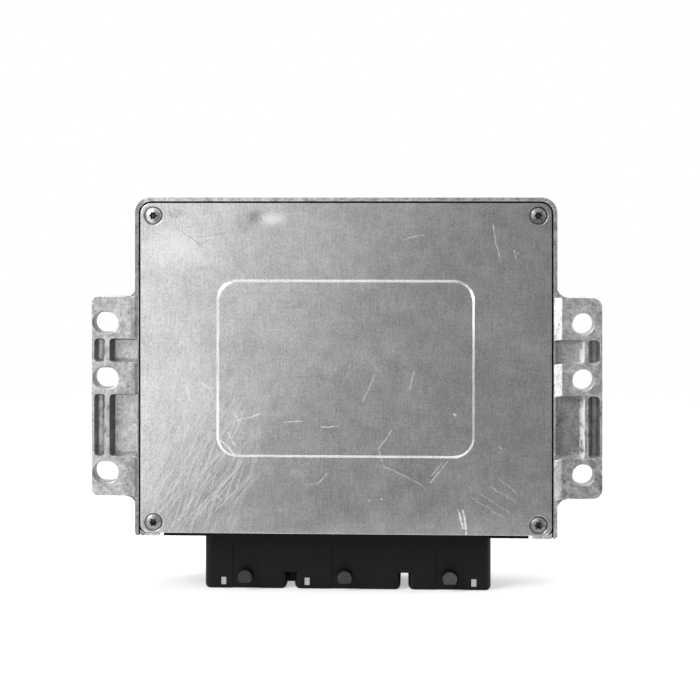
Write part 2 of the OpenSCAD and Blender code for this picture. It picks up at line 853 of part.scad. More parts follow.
// Screws that hold the board to its posts
module board_screws() {
    color("#9d9fa1")
    for (x = [-post_x, post_x], z = post_zs)
        translate([x, y_rim + board_d, z])
            rotate([90, 0, 0])
                pan_screw(board_head_r, board_head_h, board_screw_r, board_bite + board_t,
                    head_dome_r);
}

function pin_x(i, c) = socket_xs[i] + (c - (cols[i] - 1) / 2) * pin_pitch;
function pin_d(r) = socket_mid_d + (r - (pin_rows - 1) / 2) * row_pitch;
function leg_z(r) = block_z1 + leg_rise + (pin_rows - 1 - r) * leg_step;

// Insulating block that carries the contacts of one socket
module terminal_block(i) {
    difference() {
        union() {
            column(socket_h, seat_z + thin) block_plan(i, 0);
            column(seat_z, block_z1) block_plan(i, block_step);
        }
        column(socket_h - over, block_z1 + over)
            for (c = [0:cols[i] - 1], r = [0:pin_rows - 1])
                translate([pin_x(i, c), pin_d(r)]) square(pin_s + 2 * pin_clear, center = true);
    }
}

module terminal_block_left() {
    color("#2c2c2e") terminal_block(0);
}

module terminal_block_middle() {
    color("#2c2c2e") terminal_block(1);
}

module terminal_block_right() {
    color("#2c2c2e") terminal_block(2);
}

// Right-angle contacts of one socket, each from its tapered tip to its tail behind the board
module pins(i) {
    h = pin_s / 2;
    tail = board_back + tail_l;
    for (c = [0:cols[i] - 1], r = [0:pin_rows - 1])
        beam(pin_x(i, c) - h, pin_x(i, c) + h)
            polygon([[pin_d(r) - h, leg_z(r) + h], [pin_d(r) - h, pin_tip_z + pin_taper],
                [pin_d(r) - h / 2, pin_tip_z], [pin_d(r) + h / 2, pin_tip_z],
                [pin_d(r) + h, pin_tip_z + pin_taper], [pin_d(r) + h, leg_z(r) - h],
                [tail, leg_z(r) - h], [tail, leg_z(r) + h]]);
}

module pins_left() {
    color("#c9c3b0") pins(0);
}

module pins_middle() {
    color("#c9c3b0") pins(1);
}

module pins_right() {
    color("#c9c3b0") pins(2);
}

// Circuit board with its contact holes and screw holes
module circuit_board() {
    color("#1e5b3c")
    slab(board_d, board_back)
        difference() {
            rect(-board_x, board_z0, board_x, board_z1);
            for (i = [0:2], c = [0:cols[i] - 1], r = [0:pin_rows - 1])
                translate([pin_x(i, c), leg_z(r)]) circle(tail_r);
            for (x = [-post_x, post_x], z = post_zs)
                translate([x, z]) circle(board_screw_r + screw_clear);
            for (x = [-lug_x, lug_x])
                translate([x, lug_z]) circle(board_screw_r + screw_clear);
        }
}

// Puts a component on the board, with its height pointing to the cover
module on_board(at) {
    translate([at[0], y_rim + board_d, board_zc + at[1]])
        rotate([90, 0, 0]) children();
}

// Row of gull-wing leads along the +X side of a package
module leads(n, pitch, x, height, w) {
    t = lead_t;
    for (k = [0:n - 1])
        translate([0, (k - (n - 1) / 2) * pitch + w / 2, 0])
            rotate([90, 0, 0])
                linear_extrude(w)
                    polygon([[x - t, height], [x + 2 * t, height], [x + 4 * t, t],
                        [x + 7 * t, t], [x + 7 * t, 0], [x + 3 * t, 0],
                        [x + t, height - t], [x - t, height - t]]);
}

// Moulded package that stands a little off the board
module package(w, l, t, lift) {
    chamfer = t / 6;
    translate([-w / 2, -l / 2, lift]) cube([w, l, t - chamfer]);
    translate([chamfer - w / 2, chamfer - l / 2, lift]) cube([w - 2 * chamfer, l - 2 * chamfer, t]);
}

// Moulded circuit with leads on two sides
module small_outline(w, l, t) {
    package(w, l, t, package_lift);
    for (a = [0, 180])
        rotate([0, 0, a])
            leads(floor(l / lead_pitch) - 1, lead_pitch, w / 2, t / 2, lead_w);
}

// Square microcontroller with leads on four sides
module microcontroller() {
    n = floor(mcu_w / fine_pitch) - 3;
    color("#2a2a2c")
    on_board(mcu_at) {
        package(mcu_w, mcu_w, mcu_t, package_lift);
        for (a = [0:90:270])
            rotate([0, 0, a]) leads(n, fine_pitch, mcu_w / 2, mcu_t / 2, fine_lead_w);
    }
}

// Flash memory with leads on two sides
module flash_memory() {
    color("#2a2a2c")
    on_board(flash_at) small_outline(flash_l, flash_w, flash_t);
}

// Crystal in its flat metal can
module crystal() {
    color("#b8babc")
    on_board(crystal_at) {
        for (x = [-1, 1])
            translate([x * (crystal_l - crystal_w) / 2, 0, 0])
                cylinder(h = crystal_h, r = crystal_w / 2);
        translate([(crystal_w - crystal_l) / 2, -crystal_w / 2, 0])
            cube([crystal_l - crystal_w, crystal_w, crystal_h]);
    }
}

// Barometric sensor with its port
module pressure_sensor() {
    color("#3a3a3c")
    on_board(sensor_at)
        difference() {
            union() {
                package(sensor_w, sensor_w, sensor_t, 0);
                cylinder(h = port_h, r = port_r);
            }
            translate([0, 0, sensor_t]) cylinder(h = port_h, r = port_r * 0.4);
        }
}

// Moulded power package with a metal tab on the board and three leads
module power_package(w) {
    half_l = w * 0.45;
    package(w, 2 * half_l, power_t, power_lead_t);
    translate([-w / 2, -half_l, 0]) cube([w, 2 * half_l + tab_l, tab_t]);
    for (k = [-1, 1])
        translate([(k * w / 2 - power_lead_w) / 2, -half_l - power_lead_l, 0])
            cube([power_lead_w, power_lead_l + power_lead_w / 2, power_lead_t]);
}

module voltage_regulator() {
    color("#2e2e30") on_board(regulator_at) power_package(reg_w);
}

module ignition_transistors() {
    color("#2e2e30")
    for (at = igbt_at) on_board(at) power_package(igbt_w);
}

// Injector drivers with leads on two sides
module injector_drivers() {
    color("#2a2a2c")
    for (at = driver_at)
        on_board(at) small_outline(driver_l, driver_w, driver_t);
}

// Diode in the supply line
module supply_diode() {
    color("#2e2e30")
    on_board(diode_at) {
        package(diode_w, diode_l, diode_t, package_lift);
        for (y = [-1, 1])
            translate([-diode_lead_w / 2, (y * diode_l - power_lead_w) / 2, 0])
                cube([diode_lead_w, power_lead_w, diode_t / 2]);
    }
}

// Choke: a wound drum between two flanges
module choke() {
    color("#5a4632")
    on_board(choke_at)
        rotate_extrude()
            polygon([[0, 0], [choke_r, 0], [choke_r, choke_lip],
                [choke_r - choke_wound, choke_lip], [choke_r - choke_wound, choke_h - choke_lip],
                [choke_r, choke_h - choke_lip], [choke_r, choke_h], [0, choke_h]]);
}

// Electrolytic capacitors with a crimp groove over their base
module electrolytic_capacitors() {
    color("#8e9092")
    for (at = can_at)
        on_board(at) {
            rotate_extrude()
                polygon([[0, can_base / 2], [can_r, can_base / 2],
                    [can_r, can_groove_z - can_groove], [can_r - can_groove, can_groove_z],
                    [can_r, can_groove_z + can_groove], [can_r, can_h - can_groove],
                    [can_r - can_groove, can_h], [0, can_h]]);
            translate([-can_r, -can_r, 0]) cube([2 * can_r, 2 * can_r, can_base]);
        }
}

// Filter capacitors in rows
module chip_capacitors() {
    color("#b59d78")
    for (row = chip_rows, k = [0:chip_cols - 1])
        on_board([(k - (chip_cols - 1) / 2) * chip_step, row])
            translate([-chip_w / 2, -chip_l / 2, 0]) cube([chip_w, chip_l, chip_t]);
}

// Outlines of the pads behind the hot components
module pad_outlines() {
    for (at = concat([regulator_at], driver_at, igbt_at))
        translate([at[0], board_zc + at[1]]) square([pad_w, pad_h], center = true);
}

// Thermal pads between the board and the pedestals
module thermal_pads() {
    color("#9fb3c4")
    slab(board_back, board_back + pad_t) pad_outlines();
}

housing();
cover();
cover_screws();
cover_seal();
header_body();
header_seal();
header_screws();
terminal_block_left();
terminal_block_middle();
terminal_block_right();
pins_left();
pins_middle();
pins_right();
circuit_board();
board_screws();
microcontroller();
flash_memory();
crystal();
pressure_sensor();
voltage_regulator();
injector_drivers();
ignition_transistors();
supply_diode();
choke();
electrolytic_capacitors();
chip_capacitors();
thermal_pads();
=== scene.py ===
"""Engine control unit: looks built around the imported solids, in metres, in their own frame.

X runs to the right of the photograph, Y from the cover to the back and Z up from the socket rims.
"""
import json
import logging
import math
from collections.abc import Iterable
from dataclasses import dataclass, field
from enum import Enum
from functools import reduce

import bmesh
import bpy
from mathutils import Matrix, Vector
from mathutils.bvhtree import BVHTree
from mathutils.geometry import intersect_point_line


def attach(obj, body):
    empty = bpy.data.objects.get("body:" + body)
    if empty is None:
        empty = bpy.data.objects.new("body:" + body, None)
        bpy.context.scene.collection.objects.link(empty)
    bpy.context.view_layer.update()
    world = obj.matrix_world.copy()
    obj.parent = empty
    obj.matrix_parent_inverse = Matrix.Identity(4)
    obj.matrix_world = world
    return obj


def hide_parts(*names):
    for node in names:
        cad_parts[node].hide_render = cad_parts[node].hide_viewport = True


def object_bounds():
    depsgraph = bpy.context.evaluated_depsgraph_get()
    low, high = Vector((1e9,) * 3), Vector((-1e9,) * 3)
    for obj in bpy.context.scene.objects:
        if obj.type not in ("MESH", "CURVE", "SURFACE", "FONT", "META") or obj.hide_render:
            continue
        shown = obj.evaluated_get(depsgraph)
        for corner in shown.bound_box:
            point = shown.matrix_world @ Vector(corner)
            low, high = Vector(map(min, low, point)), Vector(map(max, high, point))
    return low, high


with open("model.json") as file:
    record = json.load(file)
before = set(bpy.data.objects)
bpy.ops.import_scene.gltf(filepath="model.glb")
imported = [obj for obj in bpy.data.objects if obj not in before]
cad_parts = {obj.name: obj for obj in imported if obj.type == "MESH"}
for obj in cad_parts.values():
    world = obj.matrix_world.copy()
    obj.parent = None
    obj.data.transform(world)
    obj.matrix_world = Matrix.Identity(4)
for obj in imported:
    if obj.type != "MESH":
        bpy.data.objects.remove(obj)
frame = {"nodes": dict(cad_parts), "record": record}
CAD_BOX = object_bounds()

LOG = logging.getLogger("engine_control_unit")
MM = 0.001
BODY = "root"

# Colours that several finishes share: the dark one for painted shade and dirt, the light one for bare metal
# on worn edges and painted highlights
SHADE_AND_GRIME = (0.02, 0.02, 0.02, 1.0)
BARE = (0.95, 0.95, 0.95, 1.0)

# Places on the solids, in millimetres
SHEET_Y = -17.55
FLANGE_Y = -13.75
FACE_SLACK = 0.02
HOLE_ZS = (114.3, 90.4, 49.9)
SCREWS = tuple((x, z) for x in (-82.05, 82.05) for z in (29.25, 160.35))

# Vector operations whose second input isn't the one numbered 1
SECOND = {"SCALE": "Scale"}
# Node that ends a group
GOING_OUT = "NodeGroupOutput"

Solid = bmesh.types.BMesh
Edge = bmesh.types.BMEdge
Face = bmesh.types.BMFace
Socket = bpy.types.NodeSocket
Outputs = bpy.types.bpy_prop_collection
Look = bpy.types.Material
Number = float | Socket
Given = dict[str, Socket]
Inputs = dict[str | int, object]
Pair = tuple[float, float]
Spot = tuple[float, float, float]


class Effect(Enum):
    """Surface effects that several materials share, each one shader node group."""

    MOTTLE = "mottle"
    STREAKS = "streaks"
    SCRATCH = "scratch"
    PATCH = "patch"
    # Wear on the softened edges, and the painted highlights that some faces carry in the same attribute
    WORN_EDGE = "worn_edge"
    SPECKS = "specks"
    # Painted shade in gaps, recesses and on faces turned from the light, and dirt and dust
    SOILED = "soiled"


class Facing(Enum):
    """Ways that a face may look."""

    ANY = (0.0, 0.0, 0.0)
    FRONT = (0.0, -1.0, 0.0)
    LEFT = (-1.0, 0.0, 0.0)
    RIGHT = (1.0, 0.0, 0.0)
    UP = (0.0, 0.0, 1.0)
    DOWN = (0.0, 0.0, -1.0)
    LEFT_RAMP = (-0.72, -0.7, 0.0)
    RIGHT_RAMP = (0.72, -0.7, 0.0)


ANY, FRONT, LEFT, RIGHT, UP, DOWN, LEFT_RAMP, RIGHT_RAMP = Facing


def metres(*lengths: float) -> list[float]:
    """Turns lengths in millimetres into metres."""
    return [length * MM for length in lengths]


class Graph:
    """Short-hand for wiring one node tree."""

    def __init__(self, tree: bpy.types.NodeTree) -> None:
        """Keeps the tree that the nodes go into."""
        self.tree = tree

    def node(self, kind: str, inputs: Inputs | None = None, **settings: object) -> Outputs:
        """Adds a node and feeds it.

        Args:
            kind: Type name of the node.
            inputs: Sockets to link or plain values, by name or number of the input.
            settings: Properties set on the node itself.

        Returns:
            Its output sockets.
        """
        node = self.tree.nodes.new(kind)
        for name, value in settings.items():
            setattr(node, name, value)
        for key, value in (inputs or {}).items():
            if isinstance(value, Socket):
                self.tree.links.new(value, node.inputs[key])
            else:
                node.inputs[key].default_value = value
        return node.outputs

    def math(self, operation: str, a: Number, b: Number = 0.0, clamp: bool = False) -> Socket:
        """Returns the result of one arithmetic node, kept between 0 and 1 where clamp is set."""
        return self.node("ShaderNodeMath", {0: a, 1: b}, operation=operation, use_clamp=clamp)[0]

    def times(self, a: Number, b: Number, clamp: bool = False) -> Socket:
        """Multiplies two values."""
        return self.math("MULTIPLY", a, b, clamp)

    def rest(self, mask: Socket, share: float) -> Socket:
        """Returns what is left of 1 once a share of a mask is taken off."""
        return self.math("SUBTRACT", 1.0, self.times(mask, share))

    def vector(self, operation: str, a: object, b: object = (0.0, 0.0, 0.0)) -> Socket:
        """Returns the result of one vector node, a vector or a value."""
        made = self.node("ShaderNodeVectorMath", {0: a, SECOND.get(operation, 1): b}, operation=operation)
        return made["Value" if operation in ("DOT_PRODUCT", "LENGTH") else "Vector"]

    def ramp(self, value: Number, low: Number, high: Number, start: float = 0.0, end: float = 1.0) -> Socket:
        """Maps a value smoothly from the range low to high to the range start to end."""
        inputs = {"Value": value, "From Min": low, "From Max": high, "To Min": start, "To Max": end}
        return self.node("ShaderNodeMapRange", inputs, interpolation_type="SMOOTHSTEP", clamp=True)[0]

    def noise(self, place: Socket, scale: Number, detail: float = 2.0) -> Outputs:
        """Returns the outputs of a noise texture, its value first."""
        inputs = {"Vector": place, "Scale": scale, "Detail": detail}
        return self.node("ShaderNodeTexNoise", inputs, noise_dimensions="3D")

    def wander(self, place: Socket, scale: float, reach: float) -> Socket:
        """Moves a place about by a noise of the given scale, over the given reach in metres."""
        off = self.vector("SUBTRACT", self.noise(place, scale)["Color"], (0.5, 0.5, 0.5))
        return self.vector("ADD", place, self.vector("SCALE", off, reach))

    def blend(self, factor: Number, a: object, b: object) -> Socket:
        """Mixes two colours, with the factor as the share of the second."""
        return self.node("ShaderNodeMix", {0: factor, 6: a, 7: b}, data_type="RGBA", clamp_factor=True)[2]

    def place(self) -> Socket:
        """Returns the object coordinates."""
        return self.node("ShaderNodeTexCoord")["Object"]


class Effects:
    """The shared node groups, each built once and placed in materials with its own values."""

    def __init__(self) -> None:
        """Builds every group."""
        self.groups: dict[Effect, bpy.types.NodeTree] = {}
        self._mottle()
        self._streaks()
        self._scratch()
        self._patch()
        self._worn_edge()
        self._specks()
        self._soiled()

    def _new(self, effect: Effect, *values: str, vectors: tuple[str, ...] = ()) -> tuple[Graph, Given]:
        """Starts a group with one value going out.

        Args:
            effect: Which effect the group is.
            values: Names of the inputs that are numbers.
            vectors: Names of the inputs that are vectors.

        Returns:
            The graph and the sockets with the inputs by name.
        """
        tree = bpy.data.node_groups.new(effect.value, "ShaderNodeTree")
        kinds = dict.fromkeys(vectors, "NodeSocketVector") | dict.fromkeys(values, "NodeSocketFloat")
        for name, kind in kinds.items():
            tree.interface.new_socket(name, in_out="INPUT", socket_type=kind)
        tree.interface.new_socket("Value", in_out="OUTPUT", socket_type="NodeSocketFloat")
        self.groups[effect] = tree
        graph = Graph(tree)
        entry = graph.node("NodeGroupInput")
        return graph, {name: entry[name] for name in kinds}

    def _mottle(self) -> None:
        """Uneven tone around zero, at one scale."""
        g, given = self._new(Effect.MOTTLE, "Scale", "Amount")
        value = g.noise(g.place(), given["Scale"], detail=4.0)[0]
        g.node(GOING_OUT, {0: g.times(g.math("SUBTRACT", value, 0.5), given["Amount"])})

    def _streaks(self) -> None:
        """Sparse thin lines along one direction in the X-Z plane."""
        g, given = self._new(Effect.STREAKS, "Angle", "Across", "Along", "Threshold", "Softness")
        inputs = {"Vector": g.place(), "Angle": given["Angle"]}
        turned = g.node("ShaderNodeVectorRotate", inputs, rotation_type="Y_AXIS")
        stretch = g.node("ShaderNodeCombineXYZ", {0: given["Across"], 1: given["Along"], 2: given["Along"]})
        value = g.noise(g.vector("MULTIPLY", turned[0], stretch[0]), 1.0, detail=1.5)[0]
        end = g.math("ADD", given["Threshold"], given["Softness"])
        g.node(GOING_OUT, {0: g.ramp(value, given["Threshold"], end)})

    def _scratch(self) -> None:
        """One scratch, for a place in the X-Z plane that already wanders a little."""
        values = ("Middle Along", "Middle Across", "Half Length", "Width", "Strength")
        g, given = self._new(Effect.SCRATCH, *values, vectors=("Place", "Along", "Across"))
        off = {}
        for way in ("Along", "Across"):
            spot = g.vector("DOT_PRODUCT", given["Place"], given[way])
            off[way] = g.math("ABSOLUTE", g.math("SUBTRACT", spot, given[f"Middle {way}"]))
        distance = g.math("MAXIMUM", g.math("SUBTRACT", off["Along"], given["Half Length"]), off["Across"])
        line = g.ramp(distance, g.times(given["Width"], 0.4), given["Width"], 1.0, 0.0)
        g.node(GOING_OUT, {0: g.times(line, given["Strength"])})

    def _patch(self) -> None:
        """Soft ellipsoid around a centre."""
        g, given = self._new(Effect.PATCH, "Core", vectors=("Centre", "Reach"))
        off = g.vector("DIVIDE", g.vector("SUBTRACT", g.place(), given["Centre"]), given["Reach"])
        g.node(GOING_OUT, {0: g.ramp(g.vector("LENGTH", off), given["Core"], 1.0, 1.0, 0.0)})

    def _worn_edge(self) -> None:
        """Rubbed edges and painted highlights, from the attribute that the softened edges and the highlit
        faces carry.
        """
        g, given = self._new(Effect.WORN_EDGE, "Scale", "Wear")
        edge = g.node("ShaderNodeAttribute", attribute_name="edge")["Fac"]
        value = g.noise(g.place(), given["Scale"], detail=3.0)[0]
        start = g.math("SUBTRACT", 0.75, g.times(given["Wear"], 0.5))
        g.node(GOING_OUT, {0: g.times(edge, g.ramp(value, start, g.math("ADD", start, 0.2)))})

    def _specks(self) -> None:
        """Small scattered specks and pits."""
        g, given = self._new(Effect.SPECKS, "Scale", "Size")
        inputs = {"Vector": g.wander(g.place(), 1300.0, 0.0018), "Scale": given["Scale"]}
        cells = g.node("ShaderNodeTexVoronoi", inputs, feature="F1")
        chosen = g.ramp(g.node("ShaderNodeSeparateColor", {0: cells["Color"]})[0], 0.6, 0.62)
        dot = g.ramp(cells["Distance"], g.times(given["Size"], 0.5), given["Size"], 1.0, 0.0)
        g.node(GOING_OUT, {0: g.times(dot, chosen)})

    def _soiled(self) -> None:
        """Painted shade and dirt, from the attribute that the shaded and soiled faces carry, a little uneven.
        """
        g, given = self._new(Effect.SOILED, "Scale", "Unevenness")
        shade_and_dirt = g.node("ShaderNodeAttribute", attribute_name="shade_and_dirt")["Fac"]
        value = g.math("SUBTRACT", g.noise(g.place(), given["Scale"], detail=3.0)[0], 0.5)
        share = g.math("ADD", 1.0, g.times(value, given["Unevenness"]))
        g.node(GOING_OUT, {0: g.times(shade_and_dirt, share, clamp=True)})


class Material(Graph):
    """A principled material in the making, with the shared effects at hand."""

    def __init__(self, name: str, effects: Effects) -> None:
        """Starts an empty material.

        Args:
            name: Name of the material.
            effects: The shared node groups.
        """
        self.made = bpy.data.materials.new(name)
        self.made.use_nodes = True
        self.made.node_tree.nodes.clear()
        self.effects = effects
        super().__init__(self.made.node_tree)

    def effect(self, effect: Effect, **values: object) -> Socket:
        """Places a shared effect with its input values by name, and returns its value."""
        return self.node("ShaderNodeGroup", values, node_tree=self.effects.groups[effect])[0]

    def total(self, *values: Number) -> Socket:
        """Adds up values."""
        return reduce(lambda first, other: self.math("ADD", first, other), values)

    def most(self, masks: Iterable[Socket]) -> Socket:
        """Returns the largest of several masks, taken one by one so that few are held at a time."""
        return reduce(lambda first, other: self.math("MAXIMUM", first, other), masks)

    def grey(self, value: Number) -> Socket:
        """Turns a value into a neutral colour."""
        return self.node("ShaderNodeCombineColor", {0: value, 1: value, 2: value})[0]

    def relief(self, height: Socket, strength: float, distance: float) -> Socket:
        """Returns the normal that a height shapes, with the distance in metres."""
        return self.node("ShaderNodeBump", {"Strength": strength, "Distance": distance, "Height": height})[0]

    def dress(self, colour: Socket, roughness: Socket, metallic: Number, **more: object) -> Look:
        """Ends the material with its shader.

        Args:
            colour: Base colour.
            roughness: Roughness.
            metallic: Share of metal.
            more: Other inputs of the shader by name.

        Returns:
            The material.
        """
        inputs = {"Base Color": colour, "Roughness": roughness, "Metallic": metallic} | more
        shader = self.node("ShaderNodeBsdfPrincipled", inputs)
        self.node("ShaderNodeOutputMaterial", {"Surface": shader[0]})
        return self.made


@dataclass(frozen=True)
class Mark:
    """One scratch on the cover: X and Z of its ends and its width, in millimetres, and its strength."""

    start_x: float
    start_z: float
    end_x: float
    end_z: float
    width: float
    strength: float = 1.0

    def mask(self, m: Material, place: Socket) -> Socket:
        """Sets the scratch in a material.

        Args:
            m: The material.
            place: Socket with the wandering place in the X-Z plane.

        Returns:
            The socket with the scratch's mask.
        """
        start = Vector((self.start_x, 0.0, self.start_z)) * MM
        end = Vector((self.end_x, 0.0, self.end_z)) * MM
        along = (end - start).normalized()
        across = along.cross((0.0, 1.0, 0.0))
        middle = (start + end) / 2
        values = {
            "Middle Along": middle.dot(along), "Middle Across": middle.dot(across),
            "Half Length": (end - start).length / 2, "Width": self.width * MM, "Strength": self.strength,
        }
        return m.effect(Effect.SCRATCH, Place=place, Along=tuple(along), Across=tuple(across), **values)


def marks(*rows: tuple[float, ...]) -> tuple[Mark, ...]:
    """Makes scratches from rows of their values."""
    return tuple(Mark(*row) for row in rows)


@dataclass(frozen=True)
class SoftPatch:
    """One soft place on the cover: centre and reach in X and Z, in millimetres, amount and full core."""

    centre: Pair
    reach: Pair
    amount: float
    core: float = 0.1

    MIDDLE_Y = -17.6
    DEPTH = 20.0

    def mask(self, m: Material) -> Socket:
        """Places the patch in a material.

        Args:
            m: The material.

        Returns:
            The socket with its mask times its amount.
        """
        (x, z), (reach_x, reach_z) = self.centre, self.reach
        centre, reach = metres(x, self.MIDDLE_Y, z), metres(reach_x, self.DEPTH, reach_z)
        return m.times(m.effect(Effect.PATCH, Centre=centre, Reach=reach, Core=self.core), self.amount)


@dataclass(frozen=True)
class SheetFinish:
    """Rolled aluminium sheet with handling marks, painted shade at its edges, its shoulder and its screw
    dimples, and a painted highlight and shade at the dent.
    """

    tone: float = 0.75
    roughness: float = 0.30
    scratched: float = 0.97
    stroke: float = 0.22
    rubbed_and_highlit: SoftPatch = SoftPatch((-66.0, 62.0), (40.0, 52.0), 0.42, 0.45)
    bright: tuple[Mark, ...] = ()
    dark: tuple[Mark, ...] = ()
    tone_and_light_patches: tuple[SoftPatch, ...] = ()

    def material(self, effects: Effects) -> Look:
        """Makes the sheet's material.

        Args:
            effects: The shared node groups.

        Returns:
            The material.
        """
        m = Material("cover_sheet", effects)
        grain = m.effect(Effect.MOTTLE, Scale=1500.0, Amount=0.75)
        cloud = m.effect(Effect.MOTTLE, Scale=150.0, Amount=0.3)
        wide = m.effect(Effect.MOTTLE, Scale=34.0, Amount=0.26)
        rolled = self.streaks(m, 0.0, (1500.0, 110.0), (0.35, 0.4))
        drawn = self.streaks(m, math.pi / 2, (1300.0, 90.0), (0.4, 0.35))
        # Soft patches of tone; two of them are a painted highlight and painted shade at the dent
        patch_tones = (soft_patch.mask(m) for soft_patch in self.tone_and_light_patches)
        tone = m.total(self.tone, grain, cloud, wide, m.times(rolled, 0.11), m.times(drawn, 0.03), *patch_tones)
        steep = self.streaks(m, -0.34, (1900.0, 45.0), (0.53, 0.07))
        slant = self.streaks(m, -0.72, (1700.0, 40.0), (0.57, 0.06))
        fine = m.times(m.most((steep, slant)), self.rubbed_and_highlit.mask(m))
        place, kept = self.hand(m)
        bright = m.times(m.most(mark.mask(m, place) for mark in self.bright), kept)
        specks = m.effect(Effect.SPECKS, Scale=330.0, Size=0.16)
        lines = m.most((fine, bright, m.times(specks, 0.3)))
        dark = m.times(m.most(mark.mask(m, place) for mark in self.dark), kept)
        edge_wear_and_highlight = m.effect(Effect.WORN_EDGE, Scale=500.0, Wear=0.9)
        colour = m.blend(m.times(lines, 0.75), m.grey(tone), (self.scratched,) * 3 + (1.0,))
        colour = m.blend(m.times(dark, 0.6), colour, (self.stroke,) * 3 + (1.0,))
        colour = m.blend(m.times(edge_wear_and_highlight, 0.6), colour, BARE)
        # Painted shade on the sheet's edges in the gap, on its shoulder and in the screw dimples
        colour = m.blend(m.effect(Effect.SOILED, Scale=700.0, Unevenness=0.3), colour, SHADE_AND_GRIME)
        rough = m.total(self.roughness, m.times(cloud, 0.2), m.times(wide, 0.15), m.times(lines, 0.12))
        height = m.total(m.times(grain, 0.3), m.times(rolled, 0.2))
        bumps = m.relief(height, strength=0.35, distance=0.00004)
        return m.dress(colour, rough, m.rest(lines, 0.6), Normal=bumps)

    @staticmethod
    def streaks(m: Material, angle: float, scales: Pair, cut: Pair) -> Socket:
        """Places a field of streaks.

        Args:
            m: The material.
            angle: Turn from the upright in radians.
            scales: Scale across and along the streaks.
            cut: Threshold and softness.

        Returns:
            The socket with the mask.
        """
        return m.effect(Effect.STREAKS, Angle=angle, Across=scales[0], Along=scales[1],
                        Threshold=cut[0], Softness=cut[1])

    @staticmethod
    def hand(m: Material) -> tuple[Socket, Socket]:
        """Makes what a scratching hand adds: a place that wanders and a mask where the scratch skips.

        Args:
            m: The material.

        Returns:
            The sockets with the wandering place in the X-Z plane and with the mask.
        """
        flat = m.vector("MULTIPLY", m.place(), (1.0, 0.0, 1.0))
        bent = m.vector("MULTIPLY", m.wander(flat, 260.0, 0.0016), (1.0, 0.0, 1.0))
        return bent, m.ramp(m.noise(bent, 700.0, detail=3.0)[0], 0.3, 0.52)


@dataclass(frozen=True)
class CastFinish:
    """As-cast aluminium: mottled and pitted, bright on worn edges and on faces with painted highlights, with
    a darker band at the left and painted shading on the right flange. Places are in millimetres.
    """

    tone: float = 0.62
    roughness: float = 0.5
    handled_y: Pair = (-6.0, 2.0)
    # A band at the left of the casting that is darker
    darker_band_x: Pair = (-90.3, -86.2)
    darker_band_fade: float = 0.4
    # Painted shading on the right flange: darker towards the foot, lighter towards the top
    right_x: Pair = (90.5, 91.5)
    right_z: Pair = (55.0, 115.0)
    right_painted_tone: Pair = (-0.08, 0.14)

    def material(self, effects: Effects) -> Look:
        """Makes the casting's material.

        Args:
            effects: The shared node groups.

        Returns:
            The material.
        """
        m = Material("cast_skin", effects)
        fine = m.effect(Effect.MOTTLE, Scale=900.0, Amount=0.85)
        blotch = m.effect(Effect.MOTTLE, Scale=280.0, Amount=0.75)
        wide = m.effect(Effect.MOTTLE, Scale=60.0, Amount=0.4)
        pits = m.effect(Effect.SPECKS, Scale=560.0, Size=0.32)
        edge_wear_and_highlight = m.effect(Effect.WORN_EDGE, Scale=260.0, Wear=0.8)
        x, y, z = m.node("ShaderNodeSeparateXYZ", {0: m.place()})
        uneven = m.times(m.total(fine, blotch, wide), m.ramp(y, *metres(*self.handled_y), 1.0, 0.5))
        # Painted shading: the right flange lighter towards the top and darker towards the foot
        painted_shading = m.ramp(z, *metres(*self.right_z), *self.right_painted_tone)
        right = m.times(m.ramp(x, *metres(*self.right_x)), painted_shading)
        tone = m.total(self.tone, uneven, m.times(pits, -0.22), right)
        low, high, fade = metres(*self.darker_band_x, self.darker_band_fade)
        darker_band = m.times(m.ramp(x, low - fade, low), m.ramp(x, high, high + fade, 1.0, 0.0))
        # Bare metal on worn edges and on the painted highlights
        colour = m.blend(m.times(edge_wear_and_highlight, 0.8), m.grey(m.times(tone, m.rest(darker_band, 0.45))), BARE)
        # Painted shade in the gap, holes, pockets and on faces turned from the light, and some darker faces
        colour = m.blend(m.effect(Effect.SOILED, Scale=450.0, Unevenness=0.6), colour, SHADE_AND_GRIME)
        rough = m.total(self.roughness, m.times(blotch, 0.3), m.times(edge_wear_and_highlight, -0.12))
        height = m.total(fine, m.times(blotch, 1.5), m.times(pits, -0.5))
        bumps = m.relief(height, strength=0.5, distance=0.00012)
        return m.dress(colour, rough, m.rest(edge_wear_and_highlight, 0.65), Normal=bumps)


@dataclass(frozen=True)
class ScrewFinish:
    """Plated steel, with painted shade in the recess and on the heads, and dirt."""

    tone: float = 0.72
    roughness: float = 0.34

    def material(self, effects: Effects) -> Look:
        """Makes the screws' material.

        Args:
            effects: The shared node groups.

        Returns:
            The material.
        """
        m = Material("plated_screw", effects)
        fine = m.effect(Effect.MOTTLE, Scale=1500.0, Amount=0.4)
        edge_wear_and_highlight = m.effect(Effect.WORN_EDGE, Scale=900.0, Wear=0.9)
        colour = m.blend(m.times(edge_wear_and_highlight, 0.6), m.grey(m.total(self.tone, fine)), BARE)
        # Painted shade in the recesses and over the heads' highlight, and dirt
        dirt_and_shade = m.effect(Effect.SOILED, Scale=1100.0, Unevenness=1.2)
        colour = m.blend(dirt_and_shade, colour, SHADE_AND_GRIME)
        bumps = m.relief(fine, strength=0.3, distance=0.00005)
        return m.dress(colour, m.total(self.roughness, m.times(dirt_and_shade, 0.3)), 1.0, Normal=bumps)


